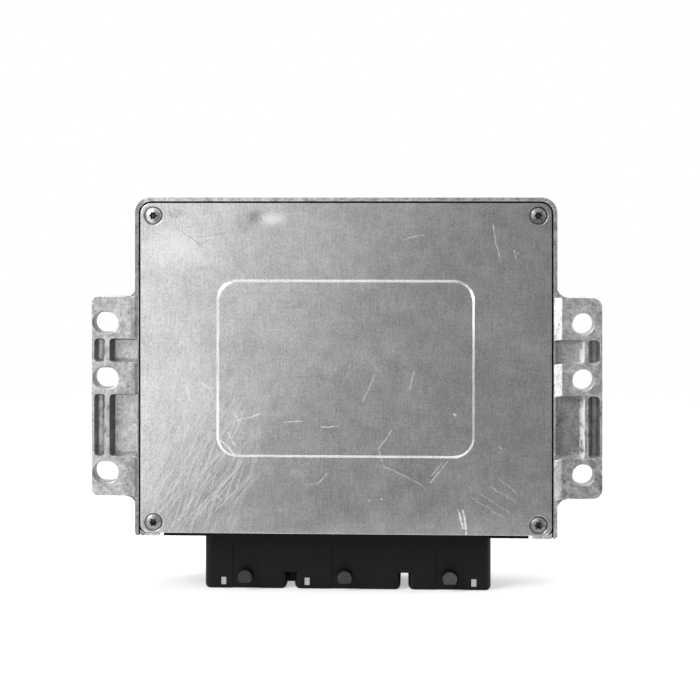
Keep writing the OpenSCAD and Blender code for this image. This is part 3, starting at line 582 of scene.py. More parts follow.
@dataclass(frozen=True)
class MouldedFinish:
    """Moulded plastic or rubber with a fine grain."""

    name: str
    colour: Spot
    roughness: float = 0.45
    edge: float = 0.02
    specular: float = 0.5
    dust: float = 0.1

    def material(self, effects: Effects) -> Look:
        """Makes the moulding's material.

        Args:
            effects: The shared node groups.

        Returns:
            The material.
        """
        m = Material(self.name, effects)
        fine = m.effect(Effect.MOTTLE, Scale=1600.0, Amount=1.0)
        wide = m.effect(Effect.MOTTLE, Scale=90.0, Amount=1.0)
        light = tuple(min(1.0, c * 1.5 + self.edge) for c in self.colour) + (1.0,)
        edge_wear_and_highlight = m.effect(Effect.WORN_EDGE, Scale=400.0, Wear=0.6)
        share = m.times(m.math("ADD", wide, 0.5), 0.4, clamp=True)
        colour = m.blend(m.most((share, m.times(edge_wear_and_highlight, 0.9))), self.colour + (1.0,), light)
        dusty = m.effect(Effect.SOILED, Scale=900.0, Unevenness=1.6)
        colour = m.blend(dusty, colour, (self.dust,) * 3 + (1.0,))
        rough = m.total(self.roughness, m.times(fine, 0.12), m.times(wide, 0.1))
        bumps = m.relief(fine, strength=0.5, distance=0.00003)
        return m.dress(colour, rough, 0.0, Normal=bumps, **{"Specular IOR Level": self.specular})


@dataclass(frozen=True)
class MetalFinish:
    """Plain plated or drawn metal of a small part."""

    name: str
    colour: Spot
    roughness: float = 0.35

    def material(self, effects: Effects) -> Look:
        """Makes the metal's material.

        Args:
            effects: The shared node groups.

        Returns:
            The material.
        """
        m = Material(self.name, effects)
        fine = m.effect(Effect.MOTTLE, Scale=1200.0, Amount=1.0)
        dull = tuple(c * 0.7 for c in self.colour) + (1.0,)
        colour = m.blend(m.math("ADD", fine, 0.4, clamp=True), self.colour + (1.0,), dull)
        return m.dress(colour, m.total(self.roughness, m.times(fine, 0.15)), 1.0)


@dataclass(frozen=True)
class EdgeBreak:
    """How the sharp edges of a solid are broken: width in millimetres, least angle in degrees."""

    width: float
    angle: float = 25.0
    segments: int = 2
    soft: float = 0.5
    soft_segments: int = 3


@dataclass(frozen=True)
class FacePatch:
    """Painted shade, painted highlight or dirt on faces in a box that face one way: corners in millimetres,
    amount, least cosine.
    """

    low: Spot
    high: Spot
    facing: Facing
    amount: float
    least: float = 0.5

    def covers(self, face: Face) -> bool:
        """Tells whether a face lies in the box and faces that way.

        Args:
            face: The face.

        Returns:
            Whether the patch covers it.
        """
        centre = face.calc_center_median() / MM
        inside = all(a <= c <= b for a, c, b in zip(self.low, centre, self.high))
        return inside and (self.facing is ANY or face.normal.dot(self.facing.value) > self.least)


Patches = tuple[FacePatch, ...]


def patches(*rows: tuple) -> Patches:
    """Makes patches from rows of their values."""
    return tuple(FacePatch(*row) for row in rows)


@dataclass
class Dressed:
    """A solid of the frame with its edges broken, which then stands for its node."""

    node: str
    piece: str
    slot: str
    edges: EdgeBreak
    # Faces with painted shade or dirt, faces with painted highlights, and faces with dulled wear
    soil: Patches = ()
    rubbed_and_highlit: Patches = ()
    dulled: Patches = ()
    obj: bpy.types.Object = field(init=False)

    # Corners closer than this, in metres, are one, and faces that turn less are flat
    MERGE = 2e-6
    FLAT = math.radians(0.4)
    CREASE = math.radians(40)
    # Room that an edge needs for the full bevel and for the thin one, in widths, and the thin one's share
    WIDE = 2.6
    NARROW = 0.9
    THIN_SHARE = 0.3
    # Search for folded slivers, in widths and as a cosine, and the gaps that are closed, in millimetres
    FOLD_REACH = 1.5
    FOLD_COSINE = 0.05
    ROUNDS = 3
    STITCHES = (0.03, 0.08, 0.16)
    # Direction along which corners, edges and faces are sorted
    ORDER = Vector((1.0, 7.3, 53.7))

    def build(self) -> bpy.types.Object:
        """Makes the piece from a merged copy of the node's mesh.

        Returns:
            The new object, at the origin.
        """
        bm = bmesh.new()
        bm.from_mesh(frame["nodes"][self.node].data)
        bmesh.ops.remove_doubles(bm, verts=bm.verts, dist=self.MERGE)
        bmesh.ops.dissolve_limit(bm, angle_limit=self.FLAT, verts=bm.verts, edges=bm.edges)
        self.reshape(bm)
        bmesh.ops.connect_verts_concave(bm, faces=bm.faces)
        tree = BVHTree.FromBMesh(bm)
        self.break_edges(bm)
        self.clear_folds(bm, tree)
        self.shape(bm)
        self.mark_faces(bm)
        self.smooth(bm)
        mesh = bpy.data.meshes.new(self.piece)
        bm.to_mesh(mesh)
        bm.free()
        for name in ("custom_normal", "UVMap"):
            if name in mesh.attributes:
                mesh.attributes.remove(mesh.attributes[name])
        self.obj = bpy.data.objects.new(self.piece, mesh)
        bpy.context.scene.collection.objects.link(self.obj)
        even = self.obj.modifiers.new("even_normals", "WEIGHTED_NORMAL")
        even.keep_sharp = even.use_face_influence = True
        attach(self.obj, BODY)
        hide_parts(self.node)
        LOG.info("%s stands for %s, %d faces", self.piece, self.node, len(mesh.polygons))
        return self.obj

    def smooth(self, bm: Solid) -> None:
        """Smooths the faces, with creases at wide angles and along the inner corners.

        Args:
            bm: The finished solid, changed in place.
        """
        least = math.radians(self.edges.angle)
        for face in bm.faces:
            face.smooth = True
        for edge in bm.edges:
            turn = edge.calc_face_angle(math.pi)
            edge.smooth = turn < self.CREASE and (edge.is_convex or turn < least)

    def reshape(self, bm: Solid) -> None:
        """Changes the solid before its edges are broken. A plain piece needs nothing."""

    def shape(self, bm: Solid) -> None:
        """Changes the solid once its edges are broken. A plain piece needs nothing."""

    def soft_edges(self, bm: Solid) -> list[Edge]:
        """Returns the edges that are rounded more than the rest. A plain piece has none."""
        return []

    def mark_faces(self, bm: Solid) -> None:
        """Marks the faces with painted shade and dirt, dulls the wear where asked, and marks the painted
        highlights.

        Args:
            bm: The finished solid, changed in place.
        """
        shade_and_dirt = bm.faces.layers.float.new("shade_and_dirt")
        edge_wear_and_highlight = bm.faces.layers.float["edge"]
        bm.normal_update()
        for face in bm.faces:
            face[shade_and_dirt] = max((patch.amount for patch in self.soil if patch.covers(face)), default=0.0)
            face[edge_wear_and_highlight] *= min((patch.amount for patch in self.dulled if patch.covers(face)), default=1.0)
            face[edge_wear_and_highlight] = max([face[edge_wear_and_highlight]] + [patch.amount for patch in self.rubbed_and_highlit if patch.covers(face)])

    def break_edges(self, bm: Solid) -> None:
        """Bevels the sharp edges and marks the new faces for edge wear.

        Args:
            bm: The solid, changed in place.
        """
        edge_wear_and_highlight = bm.faces.layers.float.new("edge")
        narrow = bm.edges.layers.int.new("narrow")
        width = self.edges.width * MM
        soft = self.soft_edges(bm)
        wide = []
        for edge in self.sharp(bm):
            room = self.room(edge)
            if edge in soft:
                continue
            if room >= self.WIDE * width:
                wide.append(edge)
            elif room >= self.NARROW * width:
                edge[narrow] = 1
        for face in self.bevel(bm, wide, width, self.edges.segments, "ALL"):
            face[edge_wear_and_highlight] = 1.0
        thin = [edge for edge in self.sharp(bm) if edge[narrow]]
        for face in self.bevel(bm, thin, width * self.THIN_SHARE, 1, "NEW"):
            face[edge_wear_and_highlight] = 1.0
        self.bevel(bm, self.soft_edges(bm), self.edges.soft * MM, self.edges.soft_segments, "NEW")

    def clear_folds(self, bm: Solid, tree: BVHTree) -> None:
        """Takes out the slivers that a bevel folded over at a crowded corner, and closes their gaps.

        Args:
            bm: The solid with its edges broken, changed in place.
            tree: Faces of the solid before its edges were broken.
        """
        lost = 0
        for _ in range(self.ROUNDS):
            self.sort(bm)
            bmesh.ops.triangulate(bm, faces=[f for f in bm.faces if len(f.verts) > 4])
            bmesh.ops.connect_verts_concave(bm, faces=bm.faces)
            lost += self.drop_folded(bm, list(bm.faces), tree)
            for reach in self.STITCHES:
                self.stitch(bm, reach * MM)
        made = bmesh.ops.holes_fill(bm, edges=self.rims(bm), sides=0)["faces"]
        for face in made:
            loop = face.loops[0]
            if loop.link_loop_radial_next.vert is loop.vert:
                face.normal_flip()
        self.drop_folded(bm, bmesh.ops.triangulate(bm, faces=made)["faces"], tree)
        bmesh.ops.delete(bm, geom=[edge for edge in bm.edges if edge.is_wire], context="EDGES")
        for vert in bm.verts:
            for axis in range(3):
                vert.co[axis] = min(max(vert.co[axis], CAD_BOX[0][axis]), CAD_BOX[1][axis])
        LOG.info("%s lost %d folded slivers, %d open edges left", self.piece, lost, len(self.rims(bm)))

    def drop_folded(self, bm: Solid, faces: list[Face], tree: BVHTree) -> int:
        """Takes out the faces that look against the solid they came from.

        Args:
            bm: The solid, changed in place.
            faces: The faces to try.
            tree: Faces of the solid before its edges were broken.

        Returns:
            How many were taken out.
        """
        bm.normal_update()
        reach = self.FOLD_REACH * self.edges.width * MM
        folded = []
        for face in faces:
            near = tree.find_nearest_range(face.calc_center_median(), reach)
            if not any(normal.dot(face.normal) > self.FOLD_COSINE for _, normal, _, _ in near):
                folded.append(face)
        bmesh.ops.delete(bm, geom=folded, context="FACES")
        return len(folded)

    def sort(self, bm: Solid) -> None:
        """Puts corners, edges and faces in an order of place, which is the same in every run.

        Args:
            bm: The solid, changed in place.
        """
        bm.verts.sort(key=lambda vert: vert.co.dot(self.ORDER))
        bm.edges.sort(key=lambda edge: (edge.verts[0].co + edge.verts[1].co).dot(self.ORDER))
        bm.faces.sort(key=lambda face: face.calc_center_median().dot(self.ORDER))

    @staticmethod
    def rims(bm: Solid) -> list[Edge]:
        """Returns the open edges."""
        return [edge for edge in bm.edges if len(edge.link_faces) == 1]

    def stitch(self, bm: Solid, reach: float) -> None:
        """Splits each open edge beside the open corners near it, then welds the corners.

        Args:
            bm: The solid, changed in place.
            reach: Widest gap that is closed, in metres.
        """
        corners = dict.fromkeys(vert for edge in self.rims(bm) for vert in edge.verts)
        for edge in self.rims(bm):
            (start, end), length, done = edge.verts, edge.calc_length(), 1.0
            stops = []
            for vert in corners:
                spot, share = intersect_point_line(vert.co, start.co, end.co)
                if (spot - vert.co).length < reach < share * length < length - reach:
                    stops.append(share)
            for share in sorted(stops, reverse=True):
                stop = bmesh.utils.edge_split(edge, start, share / done)[1]
                edge, done = next(e for e in stop.link_edges if start in e.verts), share
        corners = dict.fromkeys(vert for edge in self.rims(bm) for vert in edge.verts)
        bmesh.ops.remove_doubles(bm, verts=list(corners), dist=reach)

    def sharp(self, bm: Solid) -> list[Edge]:
        """Finds the edges to break.

        Args:
            bm: The solid.

        Returns:
            The outward edges above the least angle.
        """
        least = math.radians(self.edges.angle)
        bm.normal_update()
        return [e for e in bm.edges if len(e.link_faces) == 2 and e.is_convex and e.calc_face_angle() > least]

    @staticmethod
    def room(edge: Edge) -> float:
        """Finds how far the narrower face at an edge reaches away from it.

        Args:
            edge: The edge.

        Returns:
            The reach in metres.
        """
        start = edge.verts[0].co
        along = (edge.verts[1].co - start).normalized()
        reaches = []
        for face in edge.link_faces:
            offs = [vert.co - start for vert in face.verts]
            reaches.append(max((off - along * off.dot(along)).length for off in offs))
        return min(reaches)

    @staticmethod
    def bevel(bm: Solid, edges: list[Edge], width: float, segments: int, strength: str) -> list[Face]:
        """Bevels edges.

        Args:
            bm: The solid, changed in place.
            edges: The edges to break.
            width: Offset in metres.
            segments: Steps across the bevel.
            strength: Which faces get a new say in the normals.

        Returns:
            The new faces.
        """
        made = bmesh.ops.bevel(
            bm, geom=edges, offset=width, offset_type="OFFSET", affect="EDGES", segments=segments,
            profile=0.5, clamp_overlap=False, material=-1, face_strength_mode=strength,
        )
        return made["faces"]

    def dress(self, material: Look) -> None:
        """Gives the piece its one material."""
        self.obj.data.materials.clear()
        self.obj.data.materials.append(material)


# Boxes around the slots and pockets of the flanges, in millimetres
LEFT_FLANGE = ((-109.0, -13.7, 40.0), (-90.3, -6.0, 125.0))
RIGHT_FLANGE = ((90.3, -13.7, 40.0), (109.0, -6.0, 125.0))


@dataclass
class CastHousing(Dressed):
    """Cast tray with its flanges."""

    node: str = "housing"
    piece: str = "cast_housing"
    slot: str = "cast_aluminium"
    edges: EdgeBreak = EdgeBreak(0.28)
    finish: CastFinish = CastFinish()
    soil: Patches = patches(
        # Painted shade in the gap around the cover
        ((-88.7, -17.5, 24.0), (-84.0, -15.0, 166.9), RIGHT, 0.97),
        ((84.0, -17.5, 24.0), (88.7, -15.0, 166.9), LEFT, 0.97),
        ((-88.7, -17.5, 160.0), (88.7, -15.0, 166.9), DOWN, 0.97),
        ((-88.7, -15.7, 23.0), (88.7, -15.1, 167.0), FRONT, 0.97),
        # Left flange: painted shade on the ramps, on the walls of the slots and pockets and on the root
        # fillets, and a slightly darker face
        ((-93.0, -17.6, 39.0), (-88.0, -13.7, 126.0), LEFT_RAMP, 0.35, 0.9),
        ((-109.0, -13.7, 40.0), (-103.0, -6.0, 125.0), RIGHT, 0.55),
        ((-103.0, -13.7, 40.0), (-90.3, -6.0, 125.0), RIGHT, 0.58),
        (*LEFT_FLANGE, DOWN, 0.45),
        (*LEFT_FLANGE, UP, 0.2),
        ((-96.5, -13.9, 125.2), (-89.9, -13.4, 132.0), FRONT, 0.45),
        ((-96.5, -13.9, 33.0), (-89.9, -13.4, 40.0), FRONT, 0.45),
        ((-110.0, -13.9, 39.0), (-90.3, -13.6, 126.0), FRONT, 0.14),
        # Right flange: painted shade on the floors of the slots and the pocket and on the faces turned down;
        # the lip above it and the lowest ramp a little darker
        ((103.0, -13.6, 56.5), (108.8, -8.0, 83.8), FRONT, 0.2, 0.1),
        ((103.0, -13.6, 97.0), (108.8, -8.0, 107.7), FRONT, 0.2, 0.1),
        ((88.0, -9.5, 56.5), (99.5, -8.0, 84.0), FRONT, 0.14),
        ((87.0, -17.6, 126.0), (90.1, -17.5, 168.0), FRONT, 0.15),
        (*RIGHT_FLANGE, DOWN, 0.4),
        ((88.5, -17.6, 39.0), (93.0, -13.6, 57.5), RIGHT_RAMP, 0.25, 0.9),
    ) + tuple(
        # Painted shade inside the holes and slots
        FacePatch((x - 6.0, -13.71, z - 5.2), (x + 6.0, -6.0, z + 5.2), ANY, 0.3)
        for x in (-103.3, 101.3) for z in HOLE_ZS
    )
    rubbed_and_highlit: Patches = patches(
        # Painted highlights: walls of the right flange that face left and its faces turned up, floors and
        # left-facing walls of the left flange's pockets
        ((99.0, -13.7, 56.5), (102.2, -8.0, 107.8), LEFT, 1.6),
        (*RIGHT_FLANGE, UP, 0.7),
        ((-102.5, -9.5, 56.5), (-89.0, -8.0, 107.7), FRONT, 0.3, 0.9),
        ((-108.8, -9.5, 56.5), (-103.0, -8.0, 107.7), FRONT, 0.9, 0.9),
        ((-106.0, -13.7, 56.5), (-102.5, -8.0, 107.7), LEFT, 0.9),
    )
    dulled: Patches = patches(
        ((-110.0, -14.0, 35.0), (-89.5, -6.0, 131.0), ANY, 0.5),
        ((88.0, -17.6, 126.5), (90.1, -16.5, 168.2), ANY, 0.3),
    )

    # Root fillets of the flanges: where they start, their radius in the solid and the one that is seen
    ROOT_X = 90.0
    ROOT_INNER = -1.5
    ROOT_Y = (-14.0, -6.0)
    ROOT_ENDS = ((125.5, 1.0), (39.7, -1.0))
    ROOT_R = 4.3
    ROOT_SEEN = 5.4
    # Holes of the right flange and slots of the left one: middle or left end, and length between the ends
    HOLES = ((101.3, 0.0), (-104.2, 1.8))
    HOLE_R = 4.5
    # How far a corner may lie off its plane, arc or rim
    PLANE_SLACK = 0.01
    ARC_SLACK = 0.03
    RIM_SLACK = 0.05

    def reshape(self, bm: Solid) -> None:
        """Widens the fillets at the roots of the flanges a little, as the photograph shows them.

        Args:
            bm: The housing, changed in place.
        """
        grow = self.ROOT_SEEN / self.ROOT_R
        slack, reach = self.PLANE_SLACK, self.ROOT_R + self.PLANE_SLACK
        for vert in bm.verts:
            spot = vert.co / MM
            if not self.ROOT_Y[0] < spot.y < self.ROOT_Y[1]:
                continue
            for end, way in self.ROOT_ENDS:
                out, up = abs(spot.x) - self.ROOT_X, (spot.z - end) * way
                if not (self.ROOT_INNER < out < reach and slack < up < reach):
                    continue
                off_arc = abs(math.hypot(out - self.ROOT_R, up - self.ROOT_R) - self.ROOT_R)
                arc = off_arc < self.ARC_SLACK
                if arc and out > 0.0:
                    vert.co.x = math.copysign(self.ROOT_X + out * grow, spot.x) * MM
                if arc or up > self.ROOT_R - slack:
                    vert.co.z = (end + up * grow * way) * MM

    def soft_edges(self, bm: Solid) -> list[Edge]:
        """Returns the front rims of the holes and slots."""
        return [edge for edge in self.sharp(bm) if all(self.on_rim(vert.co / MM) for vert in edge.verts)]

    def on_rim(self, spot: Vector) -> bool:
        """Tells whether a place is on the front rim of a hole or slot.

        Args:
            spot: The place in millimetres.

        Returns:
            Whether it is on a rim.
        """
        if abs(spot.y - FLANGE_Y) > FACE_SLACK:
            return False
        for x, extra in self.HOLES:
            nearest = min(max(spot.x, x), x + extra)
            offs = (math.hypot(spot.x - nearest, spot.z - z) - self.HOLE_R for z in HOLE_ZS)
            if any(abs(off) < self.RIM_SLACK for off in offs):
                return True
        return False


@dataclass
class StampedCover(Dressed):
    """Sheet cover with its raised panel."""

    node: str = "cover"
    piece: str = "stamped_cover"
    slot: str = "cover_aluminium"
    edges: EdgeBreak = EdgeBreak(0.2, 20.0)
    finish: SheetFinish = SheetFinish(
        bright=marks(
            # Above the panel
            (62.6, 156.9, 65.4, 143.1, 0.2), (71.7, 145.6, 72.3, 142.1, 0.2),
            (72.9, 144.8, 73.7, 144.0, 0.2), (25.2, 149.9, 28.7, 151.5, 0.22, 0.8),
            (28.7, 151.5, 33.9, 151.9, 0.22, 0.8), (20.5, 145.5, 21.6, 142.0, 0.16, 0.5),
            # Right half of the panel
            (29.2, 95.1, 27.6, 86.4, 0.22, 0.9), (12.6, 92.6, 7.9, 81.6, 0.22, 0.8),
            (-3.5, 96.8, -6.4, 91.0, 0.18, 0.5), (3.1, 98.9, -1.6, 87.0, 0.16, 0.4),
            (35.5, 80.1, 29.2, 79.0, 0.18, 0.5), (46.4, 76.4, 47.1, 75.8, 0.5),
            (19.9, 69.0, 14.3, 61.6, 0.22, 0.9), (14.3, 62.2, 15.7, 55.7, 0.22, 0.8),
            # Lower right
            (17.0, 53.5, 25.2, 49.6, 0.18, 0.8), (25.2, 49.6, 32.5, 46.4, 0.18, 0.8),
            (32.5, 46.4, 34.8, 42.3, 0.16, 0.4), (43.5, 56.1, 36.4, 47.2, 0.22),
            (41.2, 55.6, 36.6, 49.7, 0.18, 0.7), (48.2, 35.1, 50.1, 27.7, 0.6),
            (50.1, 35.5, 51.6, 25.4, 0.55), (56.7, 42.8, 69.6, 34.5, 0.16, 0.7),
            (65.4, 48.7, 72.8, 42.9, 0.16, 0.6), (53.6, 40.9, 67.8, 32.1, 0.16, 0.6),
            (61.5, 45.7, 72.5, 38.8, 0.16, 0.6), (84.5, 43.0, 73.2, 30.3, 0.15, 0.35),
            (81.9, 50.1, 72.5, 41.0, 0.15, 0.35), (10.0, 39.3, 10.4, 39.1, 0.3),
            (14.2, 43.2, 14.5, 43.1, 0.3), (15.4, 40.1, 15.7, 39.9, 0.3),
            (65.4, 62.5, 66.2, 61.6, 0.3, 0.7),
            # Lower left
            (-16.4, 45.2, -11.2, 46.5, 0.22, 0.6), (-11.2, 46.5, -7.9, 50.6, 0.22, 0.8),
            (-57.1, 38.7, -54.9, 41.0, 0.22, 0.8), (-54.9, 41.0, -52.6, 38.8, 0.22, 0.8),
            # Left half of the panel
            (-47.3, 75.9, -43.6, 71.5, 0.4), (-45.9, 72.9, -36.2, 75.9, 0.35, 0.9),
            (-49.6, 67.7, -47.3, 62.6, 0.35), (-53.3, 64.8, -46.6, 58.2, 0.5),
            (-25.9, 72.3, -18.5, 73.1, 0.35, 0.8), (-9.7, 70.2, -3.0, 71.0, 0.35, 0.8),
            # Left of the panel
            (-68.2, 87.9, -66.1, 81.1, 0.4), (-62.0, 89.3, -57.8, 86.6, 0.5),
            (-72.3, 81.0, -66.8, 87.9, 0.25, 0.9),
            # Long strokes of the rubbed corner
            (-79.2, 81.0, -66.1, 101.6, 0.16, 0.8), (-82.6, 79.6, -73.7, 94.7, 0.16, 0.9),
            (-86.1, 37.0, -77.2, 62.3, 0.16, 0.9), (-82.4, 34.1, -70.5, 63.8, 0.16, 0.9),
            (-77.9, 32.7, -62.3, 68.3, 0.16, 0.9), (-69.0, 34.2, -51.2, 59.5, 0.16, 0.9),
            (-73.4, 25.3, -48.2, 49.9, 0.16, 0.8), (-57.1, 32.8, -39.3, 50.0, 0.16, 0.9),
            (-73.4, 72.6, -76.4, 66.7, 0.22, 0.8), (-63.8, 37.2, -61.5, 41.7, 0.2, 0.7),
        ),
        dark=marks(
            # Strokes near the upper left screw
            (-72.3, 155.0, -66.1, 150.9, 0.2), (-66.1, 150.9, -62.2, 147.8, 0.24),
            (-62.2, 147.8, -58.5, 149.6, 0.2), (-64.0, 151.2, -57.1, 152.0, 0.18),
            (-57.1, 152.0, -51.6, 153.0, 0.16), (-75.3, 162.6, -73.7, 159.1, 0.3, 0.9),
            (-73.0, 162.6, -70.2, 162.2, 0.3, 0.9), (-72.3, 159.8, -70.6, 161.3, 0.35, 0.9),
            # Beside the dent
            (-36.8, 160.8, -35.4, 158.1, 0.35), (-44.8, 154.4, -41.3, 151.6, 0.22, 0.5),
        ),
        tone_and_light_patches=(
            SoftPatch((-74.1, 147.0), (18.0, 13.0), 0.2),
            SoftPatch((-47.0, 104.0), (22.0, 36.0), -0.1),
            # Painted highlight right of the dent and painted shade left of it
            SoftPatch((-31.0, 158.6), (10.0, 3.6), 0.16),
            SoftPatch((-42.3, 156.5), (7.0, 7.5), -0.14),
            SoftPatch((-8.0, 157.0), (9.0, 3.4), 0.08),
            SoftPatch((-72.4, 161.0), (5.0, 2.6), -0.12),
            # Darker around the screws
            SoftPatch((82.5, 160.0), (7.5, 6.5), -0.3),
            SoftPatch((82.5, 29.5), (6.5, 5.5), -0.15),
            SoftPatch((-82.0, 160.3), (6.0, 5.6), -0.1),
        ),
    )
    soil: Patches = patches(
        # Painted shade on the edges of the sheet in the gap, then on the top and the right of the panel's
        # shoulder
        ((-87.8, -17.45, 24.0), (-84.5, -15.0, 166.0), LEFT, 0.9),
        ((84.5, -17.45, 24.0), (87.8, -15.0, 166.0), RIGHT, 0.9),
        ((-87.8, -17.45, 163.0), (87.8, -15.0, 166.0), UP, 0.9),
        ((-52.0, -18.6, 131.0), (60.0, -17.5, 134.5), UP, 0.35, 0.3),
        ((52.0, -18.6, 57.0), (60.0, -17.5, 131.0), RIGHT, 0.2, 0.3),
    ) + tuple(
        # Painted shade in the screw dimples
        FacePatch((x - 4.5, -17.5, z - 4.5), (x + 4.5, -16.5, z + 4.5), facing, amount, 0.15)
        for x, z in SCREWS
        for facing, amount in ((LEFT, 0.8), (RIGHT, 0.25), (FRONT, 0.6))
    )

    # Dent near the top edge: its middle, its reach to the left, to the right and up, and its depth
    DENT = (-36.0, 159.6)
    DENT_REACH = (6.5, 13.5, 5.0)
    DENT_DEPTH = 0.3
    DENT_STEP = 0.8

    def shape(self, bm: Solid) -> None:
        """Presses the shallow dent into the sheet near its top edge.

        Args:
            bm: The cover with its edges broken, changed in place.
        """
        x, z = self.DENT
        left, right, tall = self.DENT_REACH
        cuts = [((x + step, 0.0, 0.0), (1.0, 0.0, 0.0)) for step in self.steps(-left, right)]
        cuts += [((0.0, 0.0, z + step), (0.0, 0.0, 1.0)) for step in self.steps(-tall, tall)]
        for place, normal in cuts:
            face = [f for f in bm.faces if f.normal.y < -0.999 and self.on_sheet(f.calc_center_median())]
            geom = face + list({e for f in face for e in f.edges}) + list({v for f in face for v in f.verts})
            bmesh.ops.bisect_plane(bm, geom=geom, dist=1e-7, plane_co=Vector(place) * MM, plane_no=normal)
        for vert in bm.verts:
            off_x, off_z = vert.co.x / MM - x, (vert.co.z / MM - z) / tall
            away = math.hypot(off_x / (left if off_x < 0.0 else right), off_z)
            if away < 1.0 and self.on_sheet(vert.co):
                vert.co.y += self.DENT_DEPTH * MM * (0.5 + 0.5 * math.cos(math.pi * away)) ** 1.5

    @staticmethod
    def on_sheet(spot: Vector) -> bool:
        """Tells whether a place in metres is at the depth of the sheet's flat face."""
        return abs(spot.y / MM - SHEET_Y) < FACE_SLACK

    def steps(self, low: float, high: float) -> list[float]:
        """Returns evenly spaced values between two limits."""
        count = round((high - low) / self.DENT_STEP)
        return [low + (high - low) * i / count for i in range(count + 1)]


@dataclass
class CoverScrews(Dressed):
    """The four screws of the cover."""

    node: str = "cover_screws"
    piece: str = "cover_screw_set"
    slot: str = "screw_steel"
    edges: EdgeBreak = EdgeBreak(0.07)
    finish: ScrewFinish = ScrewFinish()
    soil: Patches = patches(
        # Upper left, lower left and both right heads, darker: dirt, and painted shade that dims their
        # highlight
        ((-86.0, -19.0, 156.0), (-78.0, -10.0, 164.5), ANY, 0.12),
        ((-86.0, -19.0, 25.0), (-78.0, -10.0, 33.5), ANY, 0.55),
        ((78.0, -19.0, 25.0), (86.0, -10.0, 164.5), ANY, 0.66),
    ) + tuple(
        # Painted shade in the recesses
        FacePatch((x - 1.9, top, z - 1.9), (x + 1.9, -15.0, z + 1.9), facing, amount)
        for x, z in SCREWS
        for top, facing, amount in (
            (-18.2, RIGHT, 0.98), (-18.2, DOWN, 0.98), (-17.6, FRONT, 0.98), (-18.2, UP, 0.7),
        )
    )


@dataclass
class ConnectorHeader(Dressed):
    """Moulded header with its sockets."""

    node: str = "header_body"
    piece: str = "connector_header"
    slot: str = "header_plastic"
    edges: EdgeBreak = EdgeBreak(0.18)
    finish: MouldedFinish = MouldedFinish("header_moulding", (0.0025,) * 3, edge=0.008, specular=0.18)
    soil: Patches = tuple(
        FacePatch((x - 3.3, -17.5, 2.0), (x + 3.3, -13.0, 8.8), FRONT, dust)
        for x, dust in ((-43.05, 0.38), (-0.35, 0.46), (44.55, 0.72))
    )

    # Lowest and highest corner of the web in the left gap
    WEB = ((-25.6, -1.0, 0.5), (-21.8, 1.0, 7.4))

    def shape(self, bm: Solid) -> None:
        """Adds the web that darkens the gap between the left and the middle socket."""
        low, high = (Vector(corner) * MM for corner in self.WEB)
        bmesh.ops.create_cube(bm, size=1.0, matrix=Matrix.LocRotScale((low + high) / 2, None, high - low))


@dataclass
class Electronics:
    """The solids that keep their own mesh: seals, contacts, board and components."""

    finishes: dict[str, MouldedFinish | MetalFinish] = field(default_factory=lambda: {
        "cover_seal_rubber": MouldedFinish("cover_seal", (0.02,) * 3, 0.7),
        "header_seal_rubber": MouldedFinish("header_seal", (0.05,) * 3, 0.7),
        "terminal_plastic": MouldedFinish("terminal_block", (0.018,) * 3, 0.5),
        "contact_metal": MetalFinish("tinned_contact", (0.72, 0.7, 0.66), 0.3),
        "board_laminate": MouldedFinish("solder_resist", (0.03, 0.16, 0.08), 0.4),
        "board_screw_steel": MetalFinish("board_screw", (0.58,) * 3, 0.35),
        "package_plastic": MouldedFinish("package", (0.03,) * 3, 0.6),
        "can_metal": MetalFinish("can", (0.62,) * 3, 0.3),
        "choke_winding": MouldedFinish("choke_ferrite", (0.12, 0.08, 0.05), 0.55),
        "chip_ceramic": MouldedFinish("chip", (0.45, 0.36, 0.25), 0.5),
        "pad_silicone": MouldedFinish("thermal_pad", (0.42, 0.48, 0.52), 0.65),
    })

    def dress(self, effects: Effects) -> None:
        """Gives each carried-over node the material of its slot.

        Args:
            effects: The shared node groups.
        """
        made = {slot: finish.material(effects) for slot, finish in self.finishes.items()}
        for part in frame["record"]["subparts"]:
            material = made.get(part["material_slot"])
            if material is None:
                continue
            for held in frame["nodes"][part["node"]].material_slots:
                held.material = material
            LOG.info("%s keeps its solid, dressed as %s", part["node"], material.name)


